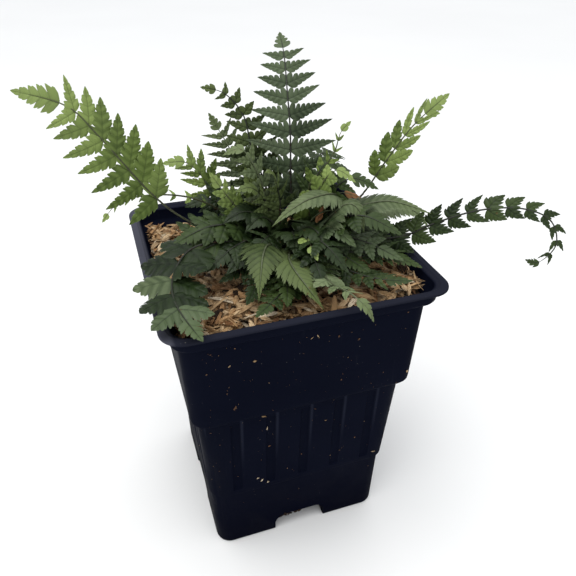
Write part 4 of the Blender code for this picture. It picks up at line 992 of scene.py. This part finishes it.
def make_fronds(materials):
    """Every frond, in place of its solid."""
    for number, frond in enumerate(FRONDS):
        draw = random.Random(100 + number)
        build = Build()
        add_frond(build, frond, "", frond.style is FINGERS, draw)
        for filler in (Filler(*row) for row in FILLERS.get(frond.name, ())):
            add_frond(build, filler_frond(filler, frond), filler.leaf, filler.whole, draw)
        piece = build.finish(f"{frond.name}_blades", (
            materials[frond.look], materials[f"{frond.leaf}_stem"], materials["scale"],
            *(materials[key] for key in EXTRA_LEAVES)))
        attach(piece, "root")
        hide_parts(frond.name)


# Pot

CORNER_STEPS = 9
CUTTER_OUT = 0.004  # how far a cutter reaches past the wall or the foot
GROOVE_DRAFT = 0.0011
GROOVE_ROUNDING = 0.0006
DRAIN_DEPTH = 0.008


def rounded_square(half, radius, z):
    """Points round a square with rounded corners, at one height."""
    centre = half - radius
    points = []
    for corner in range(4):
        start = corner * math.pi / 2
        cx = centre * (1 if corner in (0, 3) else -1)
        cy = centre * (1 if corner in (0, 1) else -1)
        for step in range(CORNER_STEPS + 1):
            angle = start + step * math.pi / 2 / CORNER_STEPS
            x, y = cx + radius * math.cos(angle), cy + radius * math.sin(angle)
            points.append(Vector((x, y, z)))
    return points


def loft(levels):
    """A closed bmesh through rounded squares, each given as (z, half, radius)."""
    mesh = bmesh.new()
    rings = [[mesh.verts.new(p) for p in rounded_square(half, radius, z)]
             for z, half, radius in levels]
    for low, high in zip(rings, rings[1:]):
        for i in range(len(low)):
            j = (i + 1) % len(low)
            mesh.faces.new((low[i], low[j], high[j], high[i]))
    mesh.faces.new(tuple(reversed(rings[0])))
    mesh.faces.new(rings[-1])
    return mesh


def outer_levels():
    """Heights, half widths and corner radii up the outside of the pot."""
    slope = (STEP_HALF - BASE_HALF) / STEP_Z
    foot_half = BASE_HALF + slope * FOOT_Z
    corner = CORNER_RADIUS
    lip = [(POT_HEIGHT - 0.0005 + 0.0005 * math.sin(math.radians(a)),
            RIM_HALF - 0.0005 + 0.0005 * math.cos(math.radians(a)), corner + 0.0020)
           for a in (0, 30, 60, 90)]
    return [
        (0.0, BASE_HALF - 0.0010, corner - 0.0010),
        (0.0004, BASE_HALF - 0.0003, corner - 0.0003),
        (0.0012, BASE_HALF, corner),
        (FOOT_Z - 0.0004, foot_half - FOOT_INSET, corner),
        (FOOT_Z + 0.0002, foot_half - FOOT_INSET * 0.6, corner),
        (FOOT_Z + 0.0010, foot_half, corner),
        (STEP_Z - 0.0020, STEP_HALF, corner),
        (STEP_Z - 0.0012, STEP_HALF + 0.0003, corner),
        (STEP_Z - 0.0008, PANEL_LOW_HALF - 0.0016, corner),
        (STEP_Z - 0.0002, PANEL_LOW_HALF - 0.0007, corner),
        (STEP_Z + 0.0007, PANEL_LOW_HALF - 0.0001, corner),
        (STEP_Z + 0.0018, PANEL_LOW_HALF, corner),
        (PANEL_TOP_Z, PANEL_TOP_HALF, corner + 0.0005),
        (COLLAR_LOW_Z - 0.0009, COLLAR_HALF - 0.0014, corner + 0.0005),
        (COLLAR_LOW_Z - 0.0003, COLLAR_HALF - 0.0004, corner + 0.0005),
        (COLLAR_LOW_Z + 0.0005, COLLAR_HALF, corner + 0.0005),
        (POT_HEIGHT - RIM_DEPTH - 0.0006, COLLAR_HALF + 0.0002, corner + 0.0005),
        (POT_HEIGHT - RIM_DEPTH - 0.0002, COLLAR_HALF + 0.0006, corner + 0.0010),
        (POT_HEIGHT - RIM_DEPTH, RIM_HALF - 0.0008, corner + 0.0015),
        (POT_HEIGHT - RIM_DEPTH + 0.0001, RIM_HALF - 0.0003, corner + 0.0018),
        (POT_HEIGHT - RIM_DEPTH + 0.0004, RIM_HALF, corner + 0.0020),
    ] + lip


def cavity_levels():
    """The same up the inside, a wall's thickness in, and out past the rim."""
    rise = WALL * 0.55
    inside = [(z + rise, half - WALL, radius - WALL * 0.6)
              for z, half, radius in outer_levels()[3:17]]
    floor = [(WALL + 0.0004, BASE_HALF - WALL, CORNER_RADIUS - WALL * 0.6)]
    lip_half = RIM_HALF - LIP_WIDTH
    mouth = [(POT_HEIGHT - 0.0006, lip_half - 0.0008, CORNER_RADIUS + 0.0003),
             (POT_HEIGHT - 0.0003, lip_half - 0.0003, CORNER_RADIUS + 0.0005),
             (POT_HEIGHT, lip_half, CORNER_RADIUS + 0.0006),
             (POT_HEIGHT + 0.0010, lip_half + 0.0009, CORNER_RADIUS + 0.0009)]
    return floor + inside + mouth


def four_sides():
    """The turns about Z that take the front side to each side."""
    return [Matrix.Rotation(turn * math.pi / 2, 4, "Z") for turn in range(4)]


def put_rounded(mesh, block, edges, rounding, segments, place):
    """Rounds edges of a block of the mesh, and brings it to its place."""
    made = bmesh.ops.bevel(mesh, geom=edges, offset=rounding, segments=segments,
                           affect="EDGES", profile=0.5)
    verts = {v for face in made["faces"] for v in face.verts} | {v for v in block if v.is_valid}
    bmesh.ops.transform(mesh, matrix=place, verts=list(verts))


def groove_shapes(more):
    """The pressed grooves of all four sides, with soft edges, larger by a thickness."""
    mesh = bmesh.new()
    height = GROOVE_HIGH_Z - GROOVE_LOW_Z
    middle = (GROOVE_HIGH_Z + GROOVE_LOW_Z) / 2
    lean = math.atan2(STEP_HALF - BASE_HALF, STEP_Z)
    face = BASE_HALF + (STEP_HALF - BASE_HALF) * middle / STEP_Z
    for turn in four_sides():
        for index in range(GROOVES_A_SIDE):
            x = (index - (GROOVES_A_SIDE - 1) / 2) * GROOVE_SPACING
            block = bmesh.ops.create_cube(mesh, size=1.0)["verts"]
            for vert in block:
                deep = vert.co.y > 0
                inset = GROOVE_DRAFT if deep else -2 * GROOVE_DRAFT
                vert.co.x *= GROOVE_WIDTH + 2 * more - 2 * inset
                vert.co.z *= height + 2 * more - 2 * inset
                vert.co.y = GROOVE_DEPTH + more if deep else -CUTTER_OUT
            edges = {e for v in block for e in v.link_edges if any(w.co.y > 0 for w in e.verts)}
            place = turn @ Matrix.Translation((x, -face, middle)) @ Matrix.Rotation(lean, 4, "X")
            put_rounded(mesh, block, list(edges), GROOVE_ROUNDING, 2, place)
    return mesh


def notch_shapes(more):
    """The arched notches under the four sides, larger by a thickness."""
    mesh = bmesh.new()
    for turn in four_sides():
        block = bmesh.ops.create_cube(mesh, size=1.0)["verts"]
        for vert in block:
            vert.co.x *= NOTCH_WIDTH + 2 * more
            vert.co.y = (NOTCH_DEPTH + more if vert.co.y > 0 else -1.5 * CUTTER_OUT) - BASE_HALF
            vert.co.z = NOTCH_HEIGHT + more if vert.co.z > 0 else -CUTTER_OUT
        edges = {edge for vert in block for edge in vert.link_edges}
        tops = [e for e in edges if all(v.co.z > 0 for v in e.verts)
                and abs(e.verts[0].co.x - e.verts[1].co.x) < 1e-6]
        put_rounded(mesh, block, tops, NOTCH_ROUNDING, 6, turn)
    return mesh


def drain_shapes():
    """The drain holes: four in the base, and one in the back of each notch."""
    mesh = bmesh.new()
    places = [Matrix.Translation((sx * DRAIN_OFFSET, sy * DRAIN_OFFSET, 0.0))
              for sx in (-1, 1) for sy in (-1, 1)]
    places += [turn @ Matrix.Translation((0.0, -BASE_HALF + NOTCH_DEPTH, NOTCH_HEIGHT * 0.5))
               @ Matrix.Rotation(math.pi / 2, 4, "X") for turn in four_sides()]
    for place in places:
        bmesh.ops.create_cone(mesh, cap_ends=True, segments=28, radius1=DRAIN_RADIUS,
                              radius2=DRAIN_RADIUS, depth=DRAIN_DEPTH, matrix=place)
    return mesh


def bmesh_object(mesh, name):
    """An object from a bmesh, which is freed."""
    bmesh.ops.recalc_face_normals(mesh, faces=mesh.faces)
    data = bpy.data.meshes.new(name)
    mesh.to_mesh(data)
    mesh.free()
    return link_object(name, data)


def cut_by(obj, cutters):
    """Takes each cutter's shape out of the object and removes the cutters."""
    for cutter in cutters:
        modifier = obj.modifiers.new("cut", "BOOLEAN")
        modifier.operation = "DIFFERENCE"
        modifier.object = cutter
    bpy.context.view_layer.update()
    graph = bpy.context.evaluated_depsgraph_get()
    data = bpy.data.meshes.new_from_object(obj.evaluated_get(graph))
    obj.modifiers.clear()
    obj.data = data
    for cutter in cutters:
        bpy.data.objects.remove(cutter)


def make_pot(material):
    """The moulded pot, with a finer rim, corners and grooves than the solid."""
    cavity = bmesh_object(loft(cavity_levels()), "cavity")
    cut_by(cavity, [bmesh_object(groove_shapes(WALL), "groove_backs"),
                    bmesh_object(notch_shapes(WALL), "notch_backs")])
    pot = bmesh_object(loft(outer_levels()), "pot_shell")
    cut_by(pot, [cavity, bmesh_object(groove_shapes(0.0), "grooves"),
                 bmesh_object(notch_shapes(0.0), "notches"),
                 bmesh_object(drain_shapes(), "drains")])
    pot.data.materials.append(material)
    pot.data.shade_smooth()
    pot.data.set_sharp_from_angle(angle=math.radians(38))
    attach(pot, "root")
    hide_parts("pot")
    return pot


# Chips and crumbs, on the pot and in the mulch

# Bits stuck to the pot's front (millimetres): across, height, length; width as a share, turn, tone
FLECKS = (
    (-16.3, 72.0, 1.7, 0.60, 5, 0.98), (-17.5, 80.0, 2.0, 0.20, -20, 0.60),
    (42.0, 88.8, 2.0, 0.42, -50, 0.80), (33.9, 39.3, 1.7, 0.30, -15, 0.85),
    (-21.5, 112.3, 1.4, 0.50, 0, 0.70), (-30.8, 112.5, 1.1, 0.50, 40, 0.75),
    (-18.5, 40.1, 1.6, 0.45, 60, 0.99), (-20.3, 42.2, 1.1, 0.60, 10, 0.97),
    (-15.8, 37.5, 1.0, 0.60, 30, 0.97), (-29.4, 91.2, 2.3, 0.30, 75, 0.05),
    (-15.0, 60.0, 1.1, 0.70, 0, 0.12), (18.3, 112.3, 1.2, 0.45, 50, 0.06),
    (1.9, 117.8, 1.7, 0.18, -60, 0.85), (-0.4, 117.5, 1.2, 0.25, 45, 0.75),
)
TINY_FLECKS = 420
NOTCH_CRUMBS = 46
FLECK_LIFT = 0.00015
RAY_START = -0.080  # in front of the wall that a fleck sticks to
FLECK_TONES = (0.03, 0.05, 0.08, 0.14, 0.22, 0.55)
CHIP_RAGGED = 0.13  # how far a chip's points stray, as a share of its length
MOST_LEAN = 0.75
BED_CELLS = 60
BED_DROP = 0.0016  # how far the bed lies under the layer's surface
HULL_SLOT, BARK_SLOT = range(2)


def chip_template(stations, across, hollow, pointed):
    """Local points of one hull or chip of unit length and width, its faces and its tones."""
    points, tones = [], []
    for i in range(stations):
        t = i / (stations - 1)
        width = math.sin(math.pi * min(max(t, 0.03), 0.97)) ** pointed
        for k in range(across):
            s = 2.0 * k / (across - 1) - 1.0
            points.append((t - 0.5, 0.5 * width * s, -hollow * (1 - s * s) * width))
            tones.append((k / (across - 1), t, 0.0, 1.0))
    return np.array(points), grid_faces(stations, across), np.array(tones)


def stick_chip(build, template, place, normal, turn, size, wide, tone, slot, draw):
    """One chip laid flat against a surface."""
    points, faces, tones = template
    side = Vector((0, 0, 1)).cross(normal).normalized()
    along = math.cos(turn) * side + math.sin(turn) * normal.cross(side)
    local = points * (size, size * wide, size * wide)
    local[:, :2] += [[draw.uniform(-CHIP_RAGGED, CHIP_RAGGED) * size for _ in range(2)]
                     for _ in points]
    world = brought(place + FLECK_LIFT * normal, (along, normal.cross(along), -normal), local)
    own_tones = tones.copy()
    own_tones[:, 2] = tone
    build.put(world, faces, own_tones, slot)


def make_flecks(pot, materials):
    """Bits of hull and mix that stick to the walls, and crumbs that hang in the front notch."""
    draw = random.Random(23)
    build = Build()
    crumb = chip_template(5, 5, 0.35, 0.5)
    wall = BVHTree.FromPolygons([v.co for v in pot.data.vertices],
                                [tuple(p.vertices) for p in pot.data.polygons])
    rows = [(0, x / 1000, z / 1000, size / 1000, *rest) for x, z, size, *rest in FLECKS]
    for _ in range(TINY_FLECKS):
        size = 0.00026 + 0.0007 * draw.random() ** 5
        rows.append((draw.choice((0, 0, 1, 2, 3)), draw.uniform(-0.040, 0.040),
                     0.012 + 0.109 * draw.random() ** 0.6, size, draw.uniform(0.15, 0.8),
                     draw.uniform(0, 180), draw.choice(FLECK_TONES)))
    for side, x, z, size, wide, turn, tone in rows:
        facing = four_sides()[side]
        place, normal, _, _ = wall.ray_cast(facing @ Vector((x, RAY_START, z)),
                                            facing.to_3x3() @ Vector((0, 1, 0)))
        if place is not None and normal.z > -0.3 and place.to_2d().length > 0.036:
            stick_chip(build, crumb, place, normal, math.radians(turn), size, wide, tone,
                       HULL_SLOT, draw)
    for _ in range(NOTCH_CRUMBS):
        spot = Vector((draw.triangular(-0.0105, 0.003, -0.007),
                       -BASE_HALF + draw.uniform(0.0, 0.0030),
                       NOTCH_HEIGHT - draw.uniform(0, 0.0010)))
        facing = Vector((draw.uniform(-0.6, 0.6), -1.0, draw.uniform(-0.8, 0.2))).normalized()
        stick_chip(build, crumb, spot, facing, draw.uniform(0, 6.28),
                   draw.uniform(0.0012, 0.0034), draw.uniform(0.3, 0.8), 0.1, BARK_SLOT, draw)
    piece = build.finish("wall_flecks", (materials["hulls"], materials["bark"]))
    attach(piece, "root")


def mulch_top(x, y):
    """Height of the hull layer's surface: gently uneven, and heaped at the two sides."""
    beside = max(0.0, min(1.0, (abs(x) - HEAP_START) / HEAP_RUN))
    return (MULCH_TOP_Z + HEAP_RISE * beside ** 1.5
            + 0.0008 * math.sin(x * 95 + 1.0) * math.cos(y * 80)
            + 0.0005 * math.sin(y * 170 + x * 60))


def held(value, limit):
    """The value, held within the limit on both sides."""
    return max(-limit, min(limit, value))


def scatter_chips(build, draw, count, template, length, width, layer, tone, spin, slot, room):
    """Chips strewn over the layer: sizes, heights, tones and tilts are drawn for each."""
    points, faces, tones = template
    limit = PANEL_TOP_HALF - WALL - 0.0012
    for _ in range(count):
        size = draw.uniform(*length)
        x = draw.uniform(-room - 0.0035, room + 0.0035)
        y = draw.uniform(-room, room)
        if math.hypot(x - CROWN_X, y - CROWN_Y) < CROWN_RADIUS + 0.0008:
            continue
        heading = draw.uniform(0, 2 * math.pi)
        reach = 0.5 * size
        wider = limit + COLLAR_HALF - PANEL_TOP_HALF if abs(x) > limit - 0.004 else limit
        x = held(x, wider - abs(math.cos(heading)) * reach)
        y = held(y, limit - abs(math.sin(heading)) * reach)
        depth = draw.random() ** 0.8
        z = mulch_top(x, y) + layer[0] + (layer[1] - layer[0]) * depth
        lean = held(draw.gauss(0, spin), MOST_LEAN)
        roll = draw.gauss(0, 0.5) + (math.pi if draw.random() < 0.45 else 0)
        turn = np.array(Matrix.Translation((x, y, z + abs(math.sin(lean)) * reach * 0.25))
                        @ Matrix.Rotation(heading, 4, "Z") @ Matrix.Rotation(lean, 4, "Y")
                        @ Matrix.Rotation(roll, 4, "X"))
        wide = size * draw.uniform(*width)
        local = points * (size, wide, wide)
        local[:, 2] += draw.uniform(-0.10, 0.10) * size * (1 - (2 * points[:, 0]) ** 2)
        own_tones = tones.copy()
        own_tones[:, 2] = min(1.0, max(0.0, draw.gauss(*tone)))
        # The chip's height in the layer, which the hull material turns into painted shade low down
        own_tones[:, 3] = depth
        build.put(local @ turn[:3, :3].T + turn[:3, 3], faces, own_tones, slot)


def make_mulch(materials):
    """The layer of rice hulls: a dark bed under thousands of chips."""
    draw = random.Random(5)
    build = Build()
    room = PANEL_TOP_HALF - WALL - 0.0010
    xs = np.linspace(-room, room, BED_CELLS)
    bed = []
    for y in xs:
        for x in xs:
            z = mulch_top(x, y) - BED_DROP + 0.0005 * math.sin(900 * x) * math.cos(1100 * y)
            crown = math.hypot(x - CROWN_X, y - CROWN_Y)
            z -= 0.0015 * math.exp(-((crown - CROWN_RADIUS) / 0.002) ** 2)
            bed.append((x, y, z - (0.001 if max(abs(x), abs(y)) > room - 0.0005 else 0.0)))
    build.put(bed, grid_faces(BED_CELLS, BED_CELLS), [(0.5, 0.5, 0.08, 0.0)] * len(bed),
              BARK_SLOT)
    hull = chip_template(7, 5, 0.42, 0.62)
    flat = chip_template(6, 3, 0.10, 0.35)
    crumb = chip_template(4, 3, 0.25, 0.45)
    inner = PANEL_TOP_HALF - WALL - 0.0035
    # Number, kind, length, width as a share, heights, tone, tilt, slot and half of their square
    for row in (
            (1500, hull, (0.0055, 0.0085), (0.26, 0.40), (-0.0018, 0.0002), (0.40, 0.22),
             0.16, HULL_SLOT, inner),
            (1500, hull, (0.0055, 0.0085), (0.24, 0.38), (-0.0004, 0.0014), (0.62, 0.22),
             0.22, HULL_SLOT, inner),
            (420, flat, (0.0060, 0.0125), (0.10, 0.17), (0.0002, 0.0018), (0.68, 0.20),
             0.14, HULL_SLOT, inner),
            (900, crumb, (0.0018, 0.0042), (0.30, 0.60), (-0.0002, 0.0014), (0.50, 0.30),
             0.30, HULL_SLOT, inner + 0.001),
            (90, crumb, (0.0030, 0.0070), (0.40, 0.70), (0.0000, 0.0014), (0.04, 0.04),
             0.20, BARK_SLOT, inner)):
        scatter_chips(build, draw, *row)
    piece = build.finish("hull_layer", (materials["hulls"], materials["bark"]))
    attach(piece, "root")
    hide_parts("mulch")


# Lights, floor and camera

HORIZON_LIGHT = 0.30
ZENITH_LIGHT = 1.50


def make_floor():
    """A plain pale floor."""
    bpy.ops.mesh.primitive_plane_add(size=12.0, location=(0.0, 0.0, 0.0))
    floor = bpy.context.object
    floor.name = "floor"
    paint = Paint("pale_floor")
    paint.ramp(paint.noise(3.0, 2.0, 0.5), ((0.3, (860, 860, 860)), (0.7, (880, 880, 880))))
    floor.data.materials.append(paint.finish(0.9, 0.05))


def make_lights():
    """A soft sky, brightest overhead, and a broad light above the left front."""
    world = bpy.data.worlds.new("sky")
    bpy.context.scene.world = world
    world.use_nodes = True
    tree = world.node_tree
    height = add_node(tree, "SeparateXYZ", {0: add_node(tree, "TexCoord", {})[0]})[2]
    feed(tree, tree.nodes["Background"], {
        "Color": (0.97, 0.985, 1.0, 1.0),
        "Strength": height.spread(0.0, 1.0, HORIZON_LIGHT, ZENITH_LIGHT, "LINEAR")})
    light = bpy.data.lights.new("top", "AREA")
    light.shape = "SQUARE"
    light.size = 0.70
    light.energy = 4.0
    light.color = (1.0, 0.99, 0.96)
    obj = link_object("top", light)
    obj.location = (-0.30, -0.10, 0.95)
    obj.rotation_euler = (Vector((0, 0, 0.12)) - obj.location).to_track_quat("-Z", "Y").to_euler()


def make_camera():
    """The photograph's viewpoint, fitted to the pot's corners."""
    turn, tip, roll = math.radians(-18.87), math.radians(33.38), math.radians(0.45)
    back = Vector((math.sin(turn) * math.cos(tip), -math.cos(turn) * math.cos(tip), math.sin(tip)))
    right = Vector((0, 0, 1)).cross(back).normalized()
    up = back.cross(right)
    right, up = (math.cos(roll) * right + math.sin(roll) * up,
                 -math.sin(roll) * right + math.cos(roll) * up)
    camera = bpy.data.cameras.new("camera")
    camera.sensor_width = 36.0
    camera.lens = 36.25
    camera.clip_start = 0.01
    obj = link_object("camera", camera)
    obj.matrix_world = Matrix((
        (right.x, up.x, back.x, -0.0610), (right.y, up.y, back.y, -0.1974),
        (right.z, up.z, back.z, 0.2454), (0, 0, 0, 1)))
    bpy.context.scene.camera = obj


def dress(node, material):
    """A better material on a solid that stays."""
    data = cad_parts[node].data
    data.materials.clear()
    data.materials.append(material)


def main():
    bpy.context.scene.view_settings.view_transform = "Standard"
    make_camera()
    make_floor()
    make_lights()
    materials = make_materials()
    dress("soil", materials["mix"])
    dress("crown", materials["crown"])
    make_flecks(make_pot(materials["pot"]), materials)
    make_mulch(materials)
    make_fronds(materials)


main()
